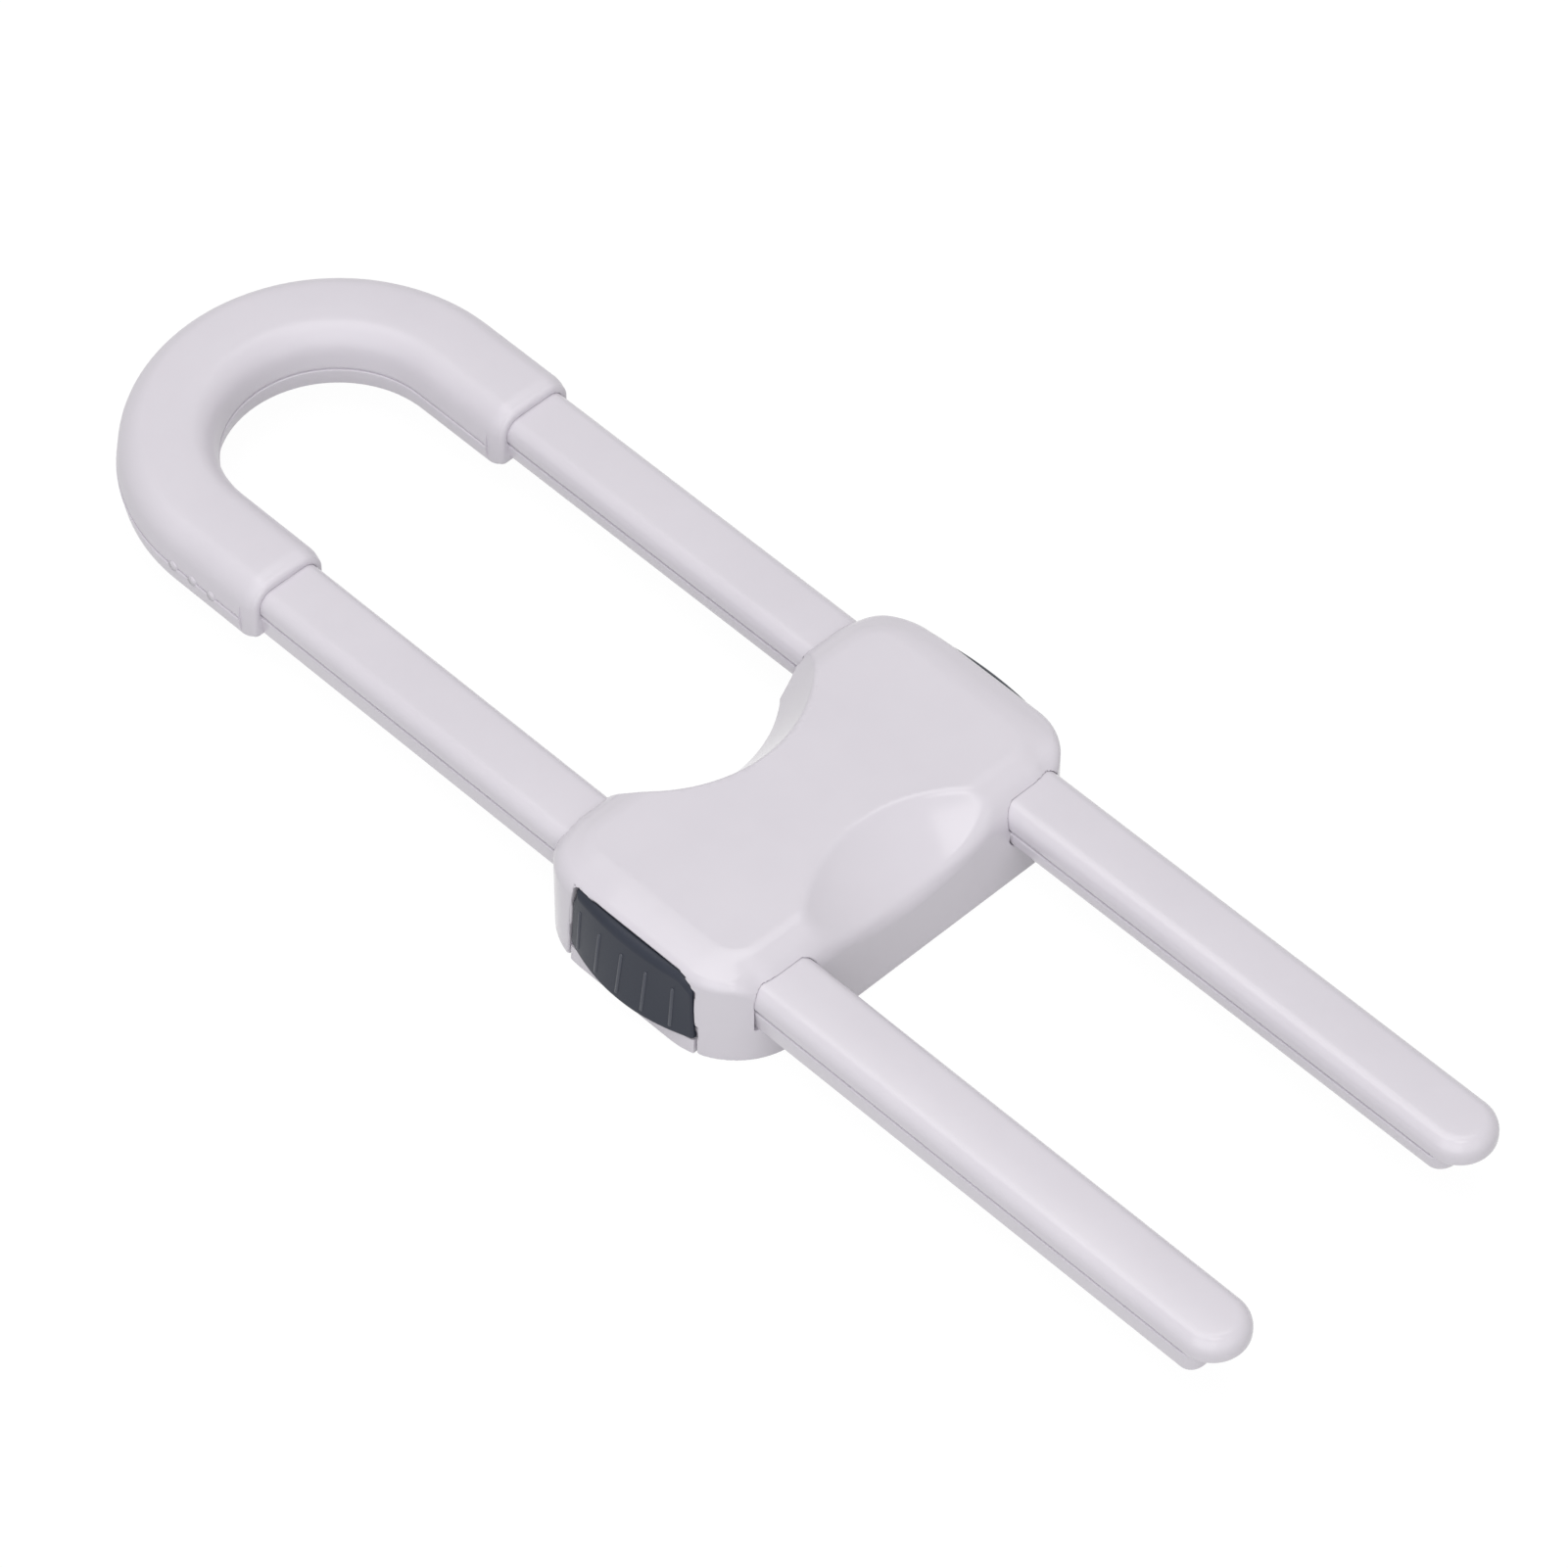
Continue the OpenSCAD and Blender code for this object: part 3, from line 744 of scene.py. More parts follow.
@dataclass
class GripBend(Piece):
    """Thick bend of the bar: an upper and a lower moulding that meet at a side seam, with a closed lip at each end."""

    leg_y: float = 20.25
    bend_x: float = -82.9
    lip_x: float = -70.8
    end_x: float = -68.6
    half_w: float = 6.35
    low: float = 4.6
    high: float = 13.7
    seam: float = 7.65
    top_r: float = 3.5
    crown: float = 0.3
    low_r: float = 0.85
    lean_up: float = 0.13
    lean_down: float = 0.2
    seam_r: float = 0.9
    ledge_r: float = 0.12
    lap: float = 0.25
    gap: float = 0.02
    lip_inset: float = 0.35
    lip_lift: float = 0.65
    lip_r: float = 0.65
    lip_low_r: float = 0.6
    pocket: tuple[float, float, float, float, float] = (4.64, 8.1, 12.19, 1.39, 2.14)
    groove: tuple[tuple[float, float], ...] = ((0.0, 0.1), (0.03, 0.02), (0.1, 0.0), (0.4, 0.0))
    tab_r: float = 0.7
    tab_t: float = 0.8
    tab_lift: float = 0.45
    tab_sink: float = 0.38
    tab_pitch: float = 3.4
    tab_count: int = 3
    tab_x: float = -82.6

    def _section(self, *sizes: float, inset: float = 0.0) -> Array:
        """Section of the bend with leaning walls.

        Args:
            sizes: Its underside, its top, its lower and upper radii, and its crown if it has one.
            inset: How far its walls are drawn in.

        Returns:
            The section, with its width counted outwards.
        """
        return leaned(rounded_loop(self.half_w - inset, *sizes), self.seam, self.lean_up, self.lean_down)

    def _sweep(self, loop: Array) -> Mesh:
        """Carries a section round the bend, from the right sleeve to the left one.

        Args:
            loop: The section.

        Returns:
            Points and faces.
        """
        straight = np.linspace(self.lip_x, self.bend_x, 4)[:-1]
        reach, level = self.leg_y + loop[:, 0], loop[:, 1]
        rings = [ring(x, -reach, level) for x in straight]
        for angle in np.linspace(0, math.pi, 73):
            rings.append(ring(self.bend_x - reach * math.sin(angle), -reach * math.cos(angle), level))
        return skin(rings + [ring(x, reach, level) for x in straight[::-1]])

    def _lip(self, side: Side) -> Mesh:
        """The closed lip at a sleeve's end, drawn in towards the leg, with a fine groove round the leg.

        Args:
            side: The side.

        Returns:
            Points and faces.
        """
        straight = self.end_x - self.lip_x - self.lip_r
        steps = [(straight * t, self.lip_inset * t**2, self.lip_lift * t**2) for t in np.linspace(0, 1, 9)]
        for turn in np.linspace(0, math.pi / 2, 8)[1:]:
            drawn = self.lip_r * (1 - math.cos(turn))
            steps.append((straight + self.lip_r * math.sin(turn), self.lip_inset + drawn, self.lip_lift + drawn))
        loops = []
        for reach, inset, lift in steps:
            radii = max(self.low_r - inset, self.lip_low_r), self.top_r - inset
            loop = self._section(self.low + lift, self.high - inset, *radii, self.crown, inset=inset)
            loops.append((self.lip_x + reach, loop))
        half_w, low, high, low_r, high_r = self.pocket
        for depth, wider in self.groove:
            loop = rounded_loop(half_w + wider, low - wider, high + wider, low_r + wider, high_r + wider)
            loops.append((self.end_x - depth, loop))
        return skin([ring(x, side.value * (self.leg_y + loop[:, 0]), loop[:, 1]) for x, loop in loops])

    def _tabs(self) -> bpy.types.Object:
        """Small round tabs of the lower moulding that cross the seam on each sleeve.

        Returns:
            All tabs as one piece.
        """
        lengths = {
            "Radius": self.tab_r,
            "Thickness": self.tab_t,
            "Pitch": self.tab_pitch,
            "Start": (self.tab_x, 0.0, self.seam + self.tab_lift),
            "Reach": self.leg_y + self.half_w - self.tab_sink,
        }
        grown = GrownPart("seam_tabs", lengths, {"Count": self.tab_count})
        add, size = grown.bench.add, grown.size
        tab = add(
            "GeometryNodeMeshCylinder",
            {"fill_type": "NGON"},
            {"Vertices": 20, "Radius": size["Radius"], "Depth": size["Thickness"]},
        )
        tab = add("GeometryNodeTransform", {}, {"Geometry": tab, "Rotation": (math.pi / 2, 0.0, 0.0)})
        step = add("ShaderNodeCombineXYZ", {}, {"X": size["Pitch"]})
        rows = []
        for side in Side:
            across = add("ShaderNodeCombineXYZ", {}, {"Y": size["Reach"] * float(side.value)})
            start = add("ShaderNodeVectorMath", {"operation": "ADD"}, {0: size["Start"], 1: across})
            row = add("GeometryNodeMeshLine", {}, {"Count": size["Count"], "Start Location": start, "Offset": step})
            rows.append(add("GeometryNodeInstanceOnPoints", {}, {"Points": row, "Instance": tab}))
        return grown.finish(add("GeometryNodeJoinGeometry", {}, {"Geometry": rows}), self.finishes.bend)

    def build(self) -> None:
        """Builds and dresses both mouldings."""
        white = self.finishes.bend
        section = self._section(self.seam + self.gap, self.high, self.seam_r, self.top_r, self.crown)
        upper = smooth_piece("bend_top_moulding", *self._sweep(section), white)
        join_pieces(upper, *(smooth_piece(f"{side.word}_lip", *self._lip(side), white) for side in Side))
        self.finishes.dress(upper, Slot.WHITE, Body.BAR.value, "bend_upper")
        section = self._section(self.low, self.seam + self.lap, self.low_r, self.ledge_r)
        lower = smooth_piece("bend_bottom_moulding", *self._sweep(section), white)
        join_pieces(lower, self._tabs())
        self.finishes.dress(lower, Slot.WHITE, Body.BAR.value, "bend_lower")


@dataclass
class SmoothLeg(SidedPiece):
    """Smooth upper bar of a leg, with a crowned top and a round tip."""

    leg_y: float = 20.25
    start_x: float = -69.2
    tip_x: float = 90.48
    half_w: float = 4.6
    seam: float = 8.15
    gap: float = 0.03
    top: float = 12.15
    seam_r: float = 1.35
    edge_r: float = 2.1
    crown: float = 0.15

    def build(self) -> None:
        """Builds and dresses the leg."""
        loop = rounded_loop(self.half_w, self.seam + self.gap, self.top, self.seam_r, self.edge_r, self.crown)
        across, level = loop.T
        centre = self.side.value * self.leg_y
        turn_x = self.tip_x - self.half_w
        rings = [ring(x, centre + across, level) for x in np.linspace(self.start_x, turn_x, 24)]
        for angle in np.linspace(0, math.pi / 2, 25)[1:]:
            rings.append(ring(turn_x + np.abs(across) * math.sin(angle), centre + across * math.cos(angle), level))
        points, faces = skin(rings)
        leg = smooth_piece(self.named("smooth_leg"), points, faces[:-1], self.finishes.made[Slot.WHITE])
        self.finishes.dress(leg, Slot.WHITE, Body.BAR.value, self.named("leg"))


@dataclass
class ToothedStrip(SidedPiece):
    """Strip under a leg, with a slot along its underside and ratchet teeth on the slot's outer wall."""

    leg_y: float = 20.25
    start_x: float = -68.9
    end_x: float = 87.1
    half_w: float = 4.5
    low: float = 5.35
    high: float = 8.45
    lean: float = 0.12
    top_r: float = 0.2
    low_r: tuple[float, float] = (1.5, 0.2)
    nose_r: float = 2.0
    nose_lift: float = 0.7
    slot_x: tuple[float, float] = (-64.6, 85.0)
    slot_y: tuple[float, float] = (-1.8, 2.9)
    slot_h: float = 2.1
    tooth_x: float = -61.05
    tooth_pitch: float = 4.0
    tooth_h: float = 1.0
    tooth_sink: float = 0.06
    tooth_count: int = 36
    lap: float = 0.5
    sharp: float = math.radians(40)

    def _blank(self) -> bpy.types.Object:
        """The strip before its slot is cut, with a round nose.

        Returns:
            The blank.
        """
        spans = [(x, 0.0) for x in np.linspace(self.start_x, self.end_x - self.nose_r, 14)]
        for turn in np.linspace(0, math.pi / 2, 10)[1:]:
            spans.append((self.end_x - self.nose_r * (1 - math.sin(turn)), 1 - math.cos(turn)))
        rings = []
        for x, drawn in spans:
            low = self.low + self.nose_lift * drawn
            loop = rounded_loop(self.half_w - self.nose_r * drawn, low, self.high, self.low_r, self.top_r)
            across, level = leaned(loop, self.high, 0.0, self.lean).T
            rings.append(ring(x, self.side.value * (self.leg_y + across), level))
        return smooth_piece(self.named("toothed_strip"), *skin(rings), self.finishes.made[Slot.WHITE])

    def build(self) -> None:
        """Builds and dresses the strip."""
        sign = float(self.side.value)
        (start, end), (inner, outer) = self.slot_x, self.slot_y
        lengths = {
            "Slot size": (end - start, outer - inner, 2 * self.slot_h),
            "Slot middle": ((start + end) / 2, sign * (self.leg_y + (inner + outer) / 2), self.low),
            "Tooth size": (self.tooth_pitch, self.tooth_h + self.lap, self.slot_h),
            "First tooth": (
                self.tooth_x + self.tooth_pitch / 2,
                sign * (self.leg_y + outer + (self.lap - self.tooth_h) / 2),
                self.low + self.slot_h / 2 + self.tooth_sink,
            ),
            "Pitch": self.tooth_pitch,
            "Height": self.tooth_h,
        }
        grown = GrownPart(self.named("teeth"), lengths, {"Count": self.tooth_count}, self._blank())
        add, size = grown.bench.add, grown.size
        slot = add("GeometryNodeMeshCube", {}, {"Size": size["Slot size"]})
        slot = add("GeometryNodeTransform", {}, {"Geometry": slot, "Translation": size["Slot middle"]})
        strip = add("GeometryNodeMeshBoolean", {"operation": "DIFFERENCE"}, {"Mesh 1": grown.base, "Mesh 2": [slot]})
        place = add("GeometryNodeInputPosition")
        along, across = (add("ShaderNodeSeparateXYZ", {}, {"Vector": place}, axis) for axis in "XY")
        ahead = add("ShaderNodeMath", {"operation": "LESS_THAN"}, {0: across * sign, 1: 0.0})
        ramp = add("ShaderNodeCombineXYZ", {}, {"Y": ahead * (along / size["Pitch"] + 0.5) * size["Height"] * sign})
        block = add("GeometryNodeMeshCube", {}, {"Size": size["Tooth size"]})
        tooth = add("GeometryNodeSetPosition", {}, {"Geometry": block, "Offset": ramp})
        step = add("ShaderNodeCombineXYZ", {}, {"X": size["Pitch"]})
        places = {"Count": size["Count"], "Start Location": size["First tooth"], "Offset": step}
        row = add("GeometryNodeMeshLine", {}, places)
        teeth = add("GeometryNodeInstanceOnPoints", {}, {"Points": row, "Instance": tooth})
        shape = add("GeometryNodeJoinGeometry", {}, {"Geometry": [strip, teeth]})
        piece = grown.finish(shape, self.finishes.made[Slot.WHITE])
        piece.data.set_sharp_from_angle(angle=self.sharp)
        self.finishes.dress(piece, Slot.WHITE, Body.BAR.value, self.named("rack"))


# ---------------------------------------------------------------- the slider


@dataclass
class SliderShell(Piece):
    """Body of the slider: a drafted rounded box with a thumb scoop, a rear notch, leg channels and button openings."""

    front_x: float = 18.35
    side_y: float = 29.85
    high: float = 14.3
    corner_r: float = 10.6
    corner_taper: float = 0.186
    edge_middle: tuple[float, float, float] = (4.4, math.radians(24), 2.6)
    edge_side: tuple[float, float, float] = (3.6, math.radians(19), 1.0)
    edge_corner: tuple[float, float, float] = (4.0, math.radians(24), 1.6)
    ridge_r: float = 0.35
    edge_y: tuple[float, float] = (23.0, 27.0)
    edge_x: tuple[float, float] = (-4.0, -13.0)
    foot_r: float = 0.3
    draft: float = math.radians(3)
    wall: float = 1.9
    notch_r: float = 18.71
    notch_x: float = -31.56
    slope_r: float = 22.57
    slope_x: float = -40.07
    slope_z: float = 6.0
    slope: float = math.radians(34)
    notch_rim: float = 0.25
    scoop_at: tuple[float, float] = (27.68, 41.15)
    scoop_r: float = 33.38
    scoop_rim: tuple[tuple[float, ...], tuple[float, ...]] = ((9.0, 12.5, 14.2), (1.5, 0.7, 0.3))
    leg_y: float = 20.25
    leg_channel: tuple[float, float, float] = (4.64, 8.1, 12.19)
    leg_channel_r: tuple[float, float] = (1.39, 2.14)
    leg_bow: float = 70.65
    rack_channel: tuple[float, float, float] = (4.6, 5.27, 9.0)
    rack_channel_r: tuple[float, float] = (2.2, 0.3)
    channel_rim: float = 0.1
    button_x: float = 0.65
    opening_half: float = 10.5
    opening_taper: float = 0.045
    opening_low: float = 2.5
    opening_high: float = 12.5
    opening_r: tuple[float, float] = (0.7, 2.2)
    opening_rim: float = 0.15
    opening_lip: tuple[float, float] = (0.25, 0.1)
    inner_y: float = 25.1
    cavity_x: float = 16.07
    cavity_y: float = 27.57
    leg_low: float = 5.35
    roof: float = 12.4
    bosses: tuple[tuple[float, float], ...] = ((12.15, 12.3), (-9.8, 12.3))
    boss_r: float = 2.4
    boss_low: float = 3.6

    def distance(self, at: Array) -> Array:
        """Distance to the shell.

        Args:
            at: Places, as rows of x, y and z.

        Returns:
            The distances, below zero inside.
        """
        x, y, z = at
        lean = math.tan(self.draft) * z
        body = plate(x, y, self.front_x - lean, self.side_y - lean, self.corner_r - self.corner_taper * z)
        width, slope, radius = self._edge(at)
        bevel = (body + width) * np.sin(slope) + (z - self.high) * np.cos(slope)
        body = meet(meet(body, bevel, radius), z - self.high, self.ridge_r)
        body = meet(body, -z, self.foot_r)
        notch = self._notch(at)
        scoop = np.sqrt((x - self.scoop_at[0]) ** 2 + y**2 + (z - self.scoop_at[1]) ** 2) - self.scoop_r
        body = carve(body, notch, self.notch_rim)
        body = carve(body, scoop, np.interp(z, *self.scoop_rim))
        body = carve(body, self._channels(at), self.channel_rim)
        across = x - self.button_x
        half = self.opening_half - self.opening_taper * (z - self.opening_low)
        opening = plate(across, z - self.opening_high + DEEP, half, DEEP, np.where(across < 0, *self.opening_r))
        body = carve(body, np.maximum(opening, self.inner_y - np.abs(y)), self.opening_rim)
        return np.maximum(body, -self._cavity(at, notch, scoop))

    def _edge(self, at: Array) -> tuple[Array, ...]:
        """Width and slope of the bevel round the top, and the radius where it turns into the wall.

        Args:
            at: Places, as rows of x, y and z.

        Returns:
            The widths, the slopes and the radii.
        """
        rear, beside = ease(at[0], *self.edge_x), ease(np.abs(at[1]), *self.edge_y)
        ends = zip(self.edge_middle, self.edge_side, self.edge_corner)
        return tuple(middle + (side + (corner - side) * rear - middle) * beside for middle, side, corner in ends)

    def _notch(self, at: Array) -> Array:
        """Distance to the rear notch, upright below and leaning forwards above."""
        x, y, z = at
        across = (x - self.slope_x) * math.cos(self.slope) - (z - self.slope_z) * math.sin(self.slope)
        return np.minimum(np.hypot(x - self.notch_x, y) - self.notch_r, np.hypot(across, y) - self.slope_r)

    def _channels(self, at: Array) -> Array:
        """Distance to the channels that the legs and their racks run in.

        Args:
            at: Places, as rows of x, y and z.

        Returns:
            The distances.
        """
        across, z = np.abs(at[1]) - self.leg_y, at[2]
        half_w, low, high = self.leg_channel
        radius = np.where(z < (low + high) / 2, *self.leg_channel_r)
        leg = plate(across, z - (low + high) / 2, half_w, (high - low) / 2, radius)
        leg = np.maximum(leg, np.hypot(across, z - high + self.leg_bow) - self.leg_bow)
        half_w, low, high = self.rack_channel
        radius = np.where(across < 0, *self.rack_channel_r)
        return np.minimum(leg, plate(across, z - (low + high) / 2, half_w, (high - low) / 2, radius))

    def _cavity(self, at: Array, notch: Array, scoop: Array) -> Array:
        """Distance to the room inside, clear of the walls and the screw bosses.

        Args:
            at: Places, as rows of x, y and z.
            notch: Distances to the notch.
            scoop: Distances to the scoop.

        Returns:
            The distances.
        """
        x, y, z = at
        inner_r = self.corner_r - self.wall
        lip_x, lip_z = self.opening_lip
        low = np.maximum(plate(x, y, self.cavity_x, self.cavity_y, inner_r), z - self.leg_low)
        tall = np.maximum(plate(x, y, self.cavity_x, self.inner_y, inner_r), z - self.roof)
        beside = np.maximum(np.abs(x - self.button_x) - self.opening_half + lip_x, np.abs(y) - self.cavity_y)
        room = np.minimum(np.minimum(low, tall), np.maximum(beside, z - self.opening_high + lip_z))
        room = np.maximum(np.maximum(room, self.wall - notch), self.wall - scoop)
        for boss_x, boss_y in self.bosses:
            boss = np.maximum(np.hypot(x - boss_x, np.abs(y) - boss_y) - self.boss_r, self.boss_low - z)
            room = np.maximum(room, -boss)
        return room

    def build(self) -> None:
        """Builds and dresses the shell, on a grid that is fine at the legs, the edges and the front."""
        grid = (
            graded((-19.0, 0.27), (-11.0, 0.48), (12.0, 0.3), (15.4, 0.15), (19.0, 0.0)),
            graded((-30.6, 0.4), (-25.4, 0.16), (-15.0, 0.5), (15.0, 0.16), (25.4, 0.4), (30.6, 0.0)),
            graded((-0.7, 0.4), (4.8, 0.23), (15.0, 0.0)),
        )
        points, faces, normals = SolidMesher(grid).mesh(self.distance)
        shell = smooth_piece("slider_body", points, faces, self.finishes.made[Slot.WHITE], normals)
        self.finishes.dress(shell, Slot.WHITE, Body.SLIDER.value, "slider_shell")


@dataclass
class SqueezeButton(SidedPiece):
    """Side button: a cap whose face bulges most along its foot, with a round brow and upright grip ribs."""

    middle_x: float = 0.65
    back_y: float = 26.7
    front_y: float = 32.4
    half_len: float = 10.35
    taper: float = 0.045
    low: float = 2.5
    tall: float = 9.8
    foot: tuple[float, float] = (29.35, 2.2)
    brow: tuple[float, float] = (29.05, 0.94)
    slant: float = 0.97
    corner_r: tuple[float, float] = (0.6, 2.1)
    edge_r: float = 0.3
    back_r: float = 0.1
    brow_r: float = 1.1
    brow_drop: tuple[float, float] = (2.5, 1.2)
    margin: float = 0.5
    cell: tuple[float, float] = (0.24, 0.22)
    rib_count: int = 5
    rib_pitch: float = 3.95
    rib_x: float = 0.15
    rib_r: float = 0.26
    rib_z: tuple[float, float] = (3.3, 9.7)
    rib_sink: float = 0.08

    def _face(self, up: Any) -> tuple[Any, Any]:
        """Where the face's ends lie across the legs at a height above the foot, and how far its middle bulges."""
        share = up / self.tall
        return tuple(foot + (brow - foot) * share for foot, brow in zip(self.foot, self.brow))

    def distance(self, at: Array) -> Array:
        """Distance to the cap of the left button.

        Args:
            at: Places, as rows of x, y and z.

        Returns:
            The distances, below zero inside.
        """
        across, y, up = at[0] - self.middle_x, at[1], at[2] - self.low
        end, bulge = self._face(up)
        front = (y - end - bulge * (1 - (across / self.half_len) ** 2)) * self.slant
        radius = np.where(across < 0, *self.corner_r)
        outline = plate(across, up - self.tall + DEEP, self.half_len - self.taper * up, DEEP, radius)
        start, full = (self.tall - drop for drop in self.brow_drop)
        round_r = self.edge_r + (self.brow_r - self.edge_r) * ease(up, start, full)
        cap = meet(meet(front, outline, round_r), -up, self.edge_r)
        return meet(cap, self.back_y - y, self.back_r)

    def _ribs(self) -> bpy.types.Object:
        """Round-ended grip ribs that stand out of the face and follow its lean, in a paler grey that is a painted
        highlight.

        Returns:
            The ribs as one piece.
        """
        low, high = self.rib_z
        middle = (low + high) / 2
        end, bulge = self._face(middle - self.low)
        lengths = {
            "Pitch": self.rib_pitch,
            "First": self.rib_x - self.rib_pitch * (self.rib_count - 1) / 2,
            "Rib radius": self.rib_r,
            "Rib length": high - low - 2 * self.rib_r,
            "Middle": self.middle_x,
            "Half length": self.half_len,
            "End": end - self.rib_sink,
            "Bulge": bulge,
            "Height": middle,
        }
        leans = ((foot - brow) / self.tall for foot, brow in zip(self.foot, self.brow))
        numbers = {"Count": self.rib_count, **dict(zip(("End lean", "Bulge lean"), leans))}
        grown = GrownPart(self.named("ribs"), lengths, numbers)
        add, size = grown.bench.add, grown.size
        sign = float(self.side.value)
        ball = add("GeometryNodeMeshUVSphere", {}, {"Segments": 14, "Rings": 12, "Radius": size["Rib radius"]})
        level = add("ShaderNodeSeparateXYZ", {}, {"Vector": add("GeometryNodeInputPosition")}, "Z")
        stretch = add("ShaderNodeMath", {"operation": "SIGN"}, {0: level}) * size["Rib length"] * 0.5
        stretch = add("ShaderNodeCombineXYZ", {}, {"Z": stretch})
        rib = add("GeometryNodeSetPosition", {}, {"Geometry": ball, "Offset": stretch})
        along = add("GeometryNodeInputIndex") * size["Pitch"] + size["First"]
        share = (along - size["Middle"]) / size["Half length"]
        share = 1.0 - share * share
        out = (size["End"] + size["Bulge"] * share) * sign
        spot = add("ShaderNodeCombineXYZ", {}, {"X": along, "Y": out, "Z": size["Height"]})
        spots = add("GeometryNodePoints", {}, {"Count": size["Count"], "Position": spot})
        lean = add("ShaderNodeMath", {"operation": "ARCTANGENT"}, {0: size["End lean"] + size["Bulge lean"] * share})
        turn = add("ShaderNodeCombineXYZ", {}, {"X": lean * sign})
        turn = add("FunctionNodeEulerToRotation", {}, {"Euler": turn})
        ribs = add("GeometryNodeInstanceOnPoints", {}, {"Points": spots, "Instance": rib, "Rotation": turn})
        # the ribs take the paler grey, which paints highlights on them
        return grown.finish(ribs, self.finishes.ribs)

    def build(self) -> None:
        """Builds and dresses the button."""
        wide, fine = self.cell
        ends = self.half_len + self.margin
        grid = (
            graded((self.middle_x - ends, wide), (self.middle_x + ends, 0.0)),
            graded((self.back_y - self.margin, fine), (self.front_y, 0.0)),
            graded((self.low - self.margin, fine), (self.low + self.tall + self.margin, 0.0)),
        )
        points, faces, normals = SolidMesher(grid).mesh(self.distance)
        if self.side is Side.RIGHT:
            points, normals = points * (1, -1, 1), normals * (1, -1, 1)
            faces = [face[::-1] for face in faces]
        cap = smooth_piece(self.named("squeeze_button"), points, faces, self.finishes.made[Slot.GREY], normals)
        join_pieces(cap, self._ribs())
        self.finishes.dress(cap, Slot.GREY, self.named("latch"), self.named("button"))


@dataclass
class ReturnSpring(SidedPiece):
    """Coil spring between the cover's post and a latch slide."""

    middle_x: float = 0.8
    post_y: float = 1.5
    seat_y: float = 9.5
    height: float = 4.3
    coil_r: float = 1.6
    wire_r: float = 0.25
    end_gap: float = 0.05
    turns: float = 6.0
    press: float = 1.6

    def build(self) -> None:
        """Builds and dresses the spring."""
        inset = self.wire_r + self.end_gap
        lengths = {
            "Coil radius": self.coil_r,
            "Wire radius": self.wire_r,
            "Length": self.seat_y - self.post_y - 2 * inset,
            "Start": (self.middle_x, self.side.value * (self.post_y + inset), self.height),
        }
        grown = GrownPart(self.named("coil"), lengths, {"Turns": self.turns})
        add, size = grown.bench.add, grown.size
        radii = {f"{end} Radius": size["Coil radius"] for end in ("Start", "End")}
        spiral = {"Resolution": 24, "Rotations": size["Turns"], "Height": size["Length"], **radii}
        path = add("GeometryNodeCurveSpiral", {}, spiral)
        wire = add("GeometryNodeCurvePrimitiveCircle", {}, {"Resolution": 10, "Radius": size["Wire radius"]})
        coil = add("GeometryNodeCurveToMesh", {}, {"Curve": path, "Profile Curve": wire, "Fill Caps": True})
        turn = (-self.side.value * math.pi / 2, 0.0, 0.0)
        place = {"Geometry": coil, "Rotation": turn, "Translation": size["Start"]}
        piece = grown.finish(add("GeometryNodeTransform", {}, place), self.finishes.made[Slot.STEEL])
        self.finishes.dress(piece, Slot.STEEL, Body.SLIDER.value, self.named("spring"))
        self.named("button_press")
        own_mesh(piece)


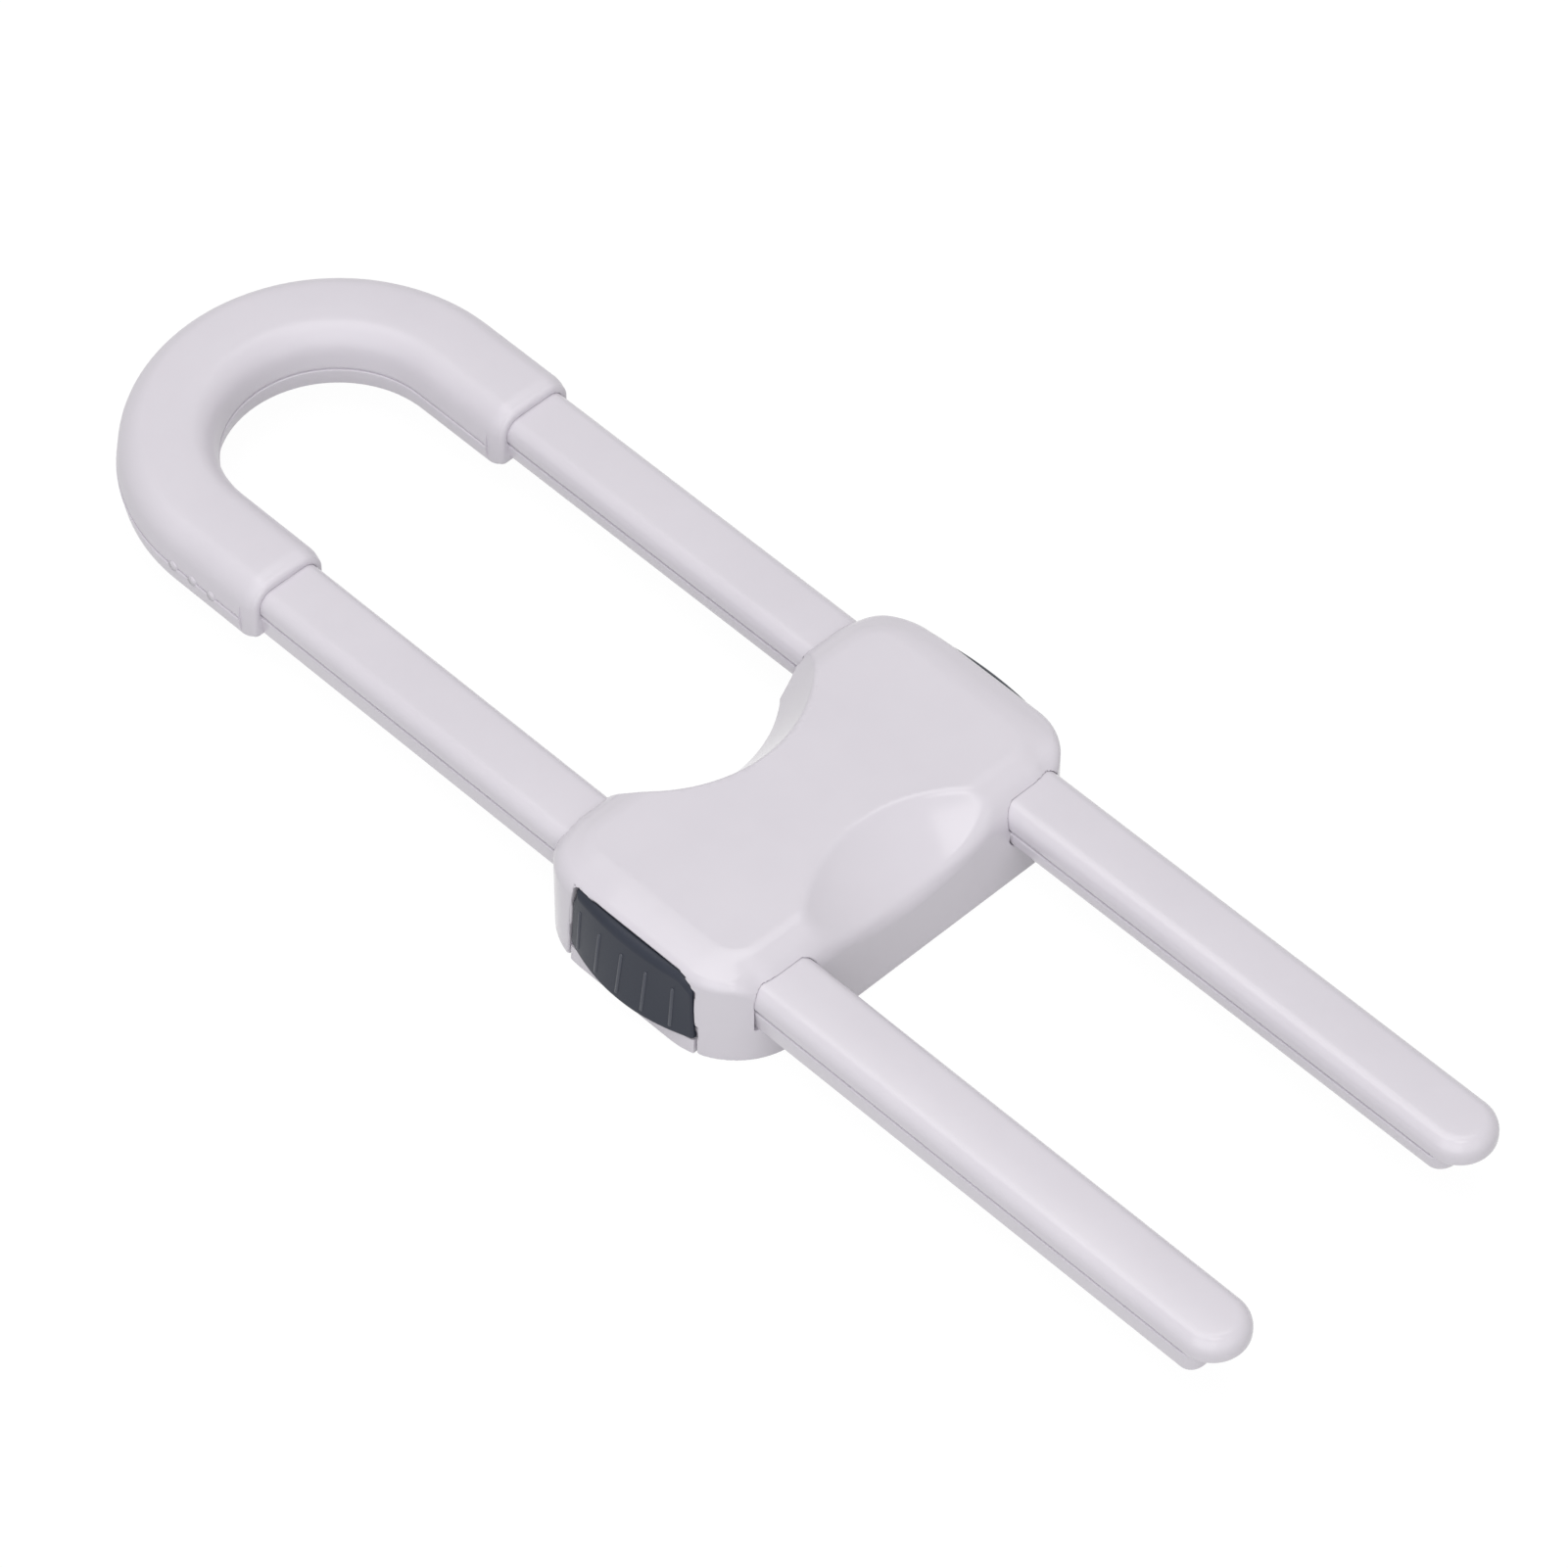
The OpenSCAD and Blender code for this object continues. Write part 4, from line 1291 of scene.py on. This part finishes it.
@dataclass
class CoverScrews(Piece):
    """Four screws with cross recesses that hold the slider's bottom cover."""

    front_x: float = 12.15
    rear_x: float = -9.8
    reach_y: float = 12.3
    head_r: float = 1.8
    head_h: float = 1.3
    head_low: float = 0.5
    shank_r: float = 0.95
    shank_len: float = 7.5
    recess_w: float = 0.55
    recess_len: float = 2.1
    recess_deep: float = 0.8
    sharp: float = math.radians(35)

    def build(self) -> None:
        """Builds and dresses the screws."""
        lengths = {
            "Head radius": self.head_r,
            "Head height": self.head_h,
            "Head low": self.head_low,
            "Shank radius": self.shank_r,
            "Shank length": self.shank_len,
            "Recess width": self.recess_w,
            "Recess length": self.recess_len,
            "Recess depth": self.recess_deep,
            "Front": self.front_x,
            "Rear": self.rear_x,
            "Reach": self.reach_y,
        }
        grown = GrownPart("cover_screws", lengths, {"Count": 4})
        add, size = grown.bench.add, grown.size
        head, shank = (
            add("GeometryNodeMeshCylinder", {"fill_type": "NGON"}, {"Vertices": n, "Radius": size[r], "Depth": size[d]})
            for n, r, d in ((40, "Head radius", "Head height"), (24, "Shank radius", "Shank length"))
        )
        drop = add("ShaderNodeCombineXYZ", {}, {"Z": size["Head height"] * -0.5})
        arms = []
        for long, wide in (("Recess length", "Recess width"), ("Recess width", "Recess length")):
            box = add("ShaderNodeCombineXYZ", {}, {"X": size[long], "Y": size[wide], "Z": size["Recess depth"] * 2.0})
            arm = add("GeometryNodeMeshCube", {}, {"Size": box})
            arms.append(add("GeometryNodeTransform", {}, {"Geometry": arm, "Translation": drop}))
        head = add("GeometryNodeMeshBoolean", {"operation": "DIFFERENCE"}, {"Mesh 1": head, "Mesh 2": arms})
        rise = add("ShaderNodeCombineXYZ", {}, {"Z": (size["Head height"] + size["Shank length"]) * 0.5})
        shank = add("GeometryNodeTransform", {}, {"Geometry": shank, "Translation": rise})
        screw = add("GeometryNodeJoinGeometry", {}, {"Geometry": [head, shank]})
        number = add("GeometryNodeInputIndex")
        back = add("ShaderNodeMath", {"operation": "MODULO"}, {0: number, 1: 2.0})
        right = add("ShaderNodeMath", {"operation": "GREATER_THAN"}, {0: number, 1: 1.5})
        place = {
            "X": size["Front"] + back * (size["Rear"] - size["Front"]),
            "Y": size["Reach"] * (1.0 - right * 2.0),
            "Z": size["Head height"] * 0.5 + size["Head low"],
        }
        spot = add("ShaderNodeCombineXYZ", {}, place)
        spots = add("GeometryNodePoints", {}, {"Count": size["Count"], "Position": spot})
        screws = add("GeometryNodeInstanceOnPoints", {}, {"Points": spots, "Instance": screw})
        piece = grown.finish(screws, self.finishes.made[Slot.STEEL])
        piece.data.set_sharp_from_angle(angle=self.sharp)
        self.finishes.dress(piece, Slot.STEEL, Body.SLIDER.value, "base_screws")


# ---------------------------------------------------------------- the studio


@dataclass
class Studio:
    """White floor and world, soft lamps, and the camera at the photograph's place."""

    azimuth: float = math.radians(45.854)
    elevation: float = math.radians(49.320)
    away: float = 1086.0
    target: tuple[float, float, float] = (-5.907, 1.802, 8.79)
    lens: float = 211.05
    dome: float = 0.40
    floor_shade: float = 0.12
    floor_white: float = 1.09
    floor_grey: float = 0.55
    floor_half: float = 3000.0
    floor_z: float = -0.2
    warm: Colour = (1.0, 0.985, 0.985)
    cool: Colour = (0.98, 0.985, 1.0)

    def build(self) -> None:
        """Sets the camera, the lamps, the world and the floor."""
        bpy.context.scene.view_settings.view_transform = "Standard"
        self._camera()
        self._lamp("overhead", (-0.235, -0.02, 1.0), (0.61, 1.03), 3.8, self.warm, level=True)
        self._lamp("front_softbox", (0.27, -0.123, 0.955), (0.34, 0.34), 0.9, self.warm)
        self._lamp("front_fill", (0.85, -0.25, 0.45), (1.0, 1.0), 1.5, self.warm)
        self._lamp("near_fill", (0.36, -0.77, 0.50), (1.0, 1.0), 3.5, self.cool)
        self._world()
        self._floor()
        LOG.info("studio: camera %.0f mm away", self.away)

    def _camera(self) -> None:
        """Places the camera on the photograph's line of sight."""
        flat = math.cos(self.elevation)
        back = Vector((math.sin(self.azimuth) * flat, -math.cos(self.azimuth) * flat, math.sin(self.elevation)))
        lens = bpy.data.cameras.new("camera")
        lens.lens = self.lens
        lens.sensor_width = 36.0
        lens.clip_start = 0.05
        camera = bpy.data.objects.new("camera", lens)
        camera.location = (Vector(self.target) + back * self.away) * MM
        camera.rotation_euler = back.to_track_quat("Z", "Y").to_euler()
        bpy.context.scene.collection.objects.link(camera)
        bpy.context.scene.camera = camera

    @staticmethod
    def _lamp(
        name: str,
        place: tuple[float, float, float],
        size: tuple[float, float],
        power: float,
        tint: Colour,
        level: bool = False,
    ) -> None:
        """Adds a soft lamp.

        Args:
            name: The lamp's name.
            place: Where it stands, in metres.
            size: Its two sides, in metres.
            power: Its power, in watts.
            tint: The colour of its light.
            level: Whether it shines straight down; otherwise it faces the lock.
        """
        light = bpy.data.lights.new(name, "AREA")
        light.shape = "RECTANGLE"
        light.size, light.size_y = size
        light.energy = power
        light.color = tint
        lamp = bpy.data.objects.new(name, light)
        lamp.location = place
        if not level:
            lamp.rotation_euler = Vector(place).to_track_quat("Z", "Y").to_euler()
        bpy.context.scene.collection.objects.link(lamp)

    @staticmethod
    def _seen(bench: Bench) -> Term:
        """One where the camera looks, straight or by a mirror or glass."""
        seen = [bench.add("ShaderNodeLightPath", out=f"Is {ray} Ray") for ray in ("Camera", "Glossy", "Transmission")]
        return seen[0].larger(seen[1]).larger(seen[2])

    def _world(self) -> None:
        """A white background that lights the lock at a plain level."""
        world = bpy.data.worlds.new("white_room")
        bench = Bench.shading(world)
        add = bench.add
        seen = add("ShaderNodeBackground", {}, {"Color": (1.0, 1.0, 1.0, 1.0), "Strength": 1.0})
        room = add("ShaderNodeBackground", {}, {"Color": (1.0, 0.99, 1.0, 1.0), "Strength": self.dome})
        mixed = add("ShaderNodeMixShader", {}, {0: self._seen(bench), 1: room, 2: seen})
        add("ShaderNodeOutputWorld", {}, {"Surface": mixed})
        bpy.context.scene.world = world

    def _floor(self) -> None:
        """A white floor that keeps a faint shadow of the lock."""
        material = bpy.data.materials.new("white_floor")
        bench = Bench.shading(material)
        add = bench.add
        paper = add("ShaderNodeBsdfDiffuse", {}, {"Color": (*[self.floor_grey] * 3, 1.0)})
        white = add("ShaderNodeEmission", {}, {"Color": (1.0, 1.0, 1.0, 1.0), "Strength": self.floor_white})
        mixed = add("ShaderNodeMixShader", {}, {0: self._seen(bench) * (1 - self.floor_shade), 1: paper, 2: white})
        add("ShaderNodeOutputMaterial", {}, {"Surface": mixed})
        half, level = self.floor_half * MM, self.floor_z * MM
        mesh = bpy.data.meshes.new("floor")
        corners = [(-half, -half, level), (half, -half, level), (half, half, level), (-half, half, level)]
        mesh.from_pydata(corners, [], [(0, 1, 2, 3)])
        mesh.materials.append(material)
        floor = bpy.data.objects.new("floor", mesh)
        bpy.context.scene.collection.objects.link(floor)
        floor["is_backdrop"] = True


def main() -> None:
    """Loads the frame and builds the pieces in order."""
    logging.basicConfig(level=logging.INFO, format="%(name)s: %(message)s")
    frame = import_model()
    cad_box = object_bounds()
    finishes = Finishes()
    finishes.build()
    GripBend(finishes).build()
    for side in Side:
        for piece in (SmoothLeg, ToothedStrip, SqueezeButton, ReturnSpring):
            piece(finishes, side).build()
        finishes.repaint(frame, f"{side.word}_pawl", Slot.NATURAL)
    SliderShell(finishes).build()
    finishes.repaint(frame, "slider_base", Slot.WHITE)
    CoverScrews(finishes).build()
    Studio().build()
    boxes = {"cad": cad_box, "visual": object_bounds()}
    {key: [[float(v) for v in corner] for corner in box] for key, box in boxes.items()}


if __name__ == "__main__":
    main()
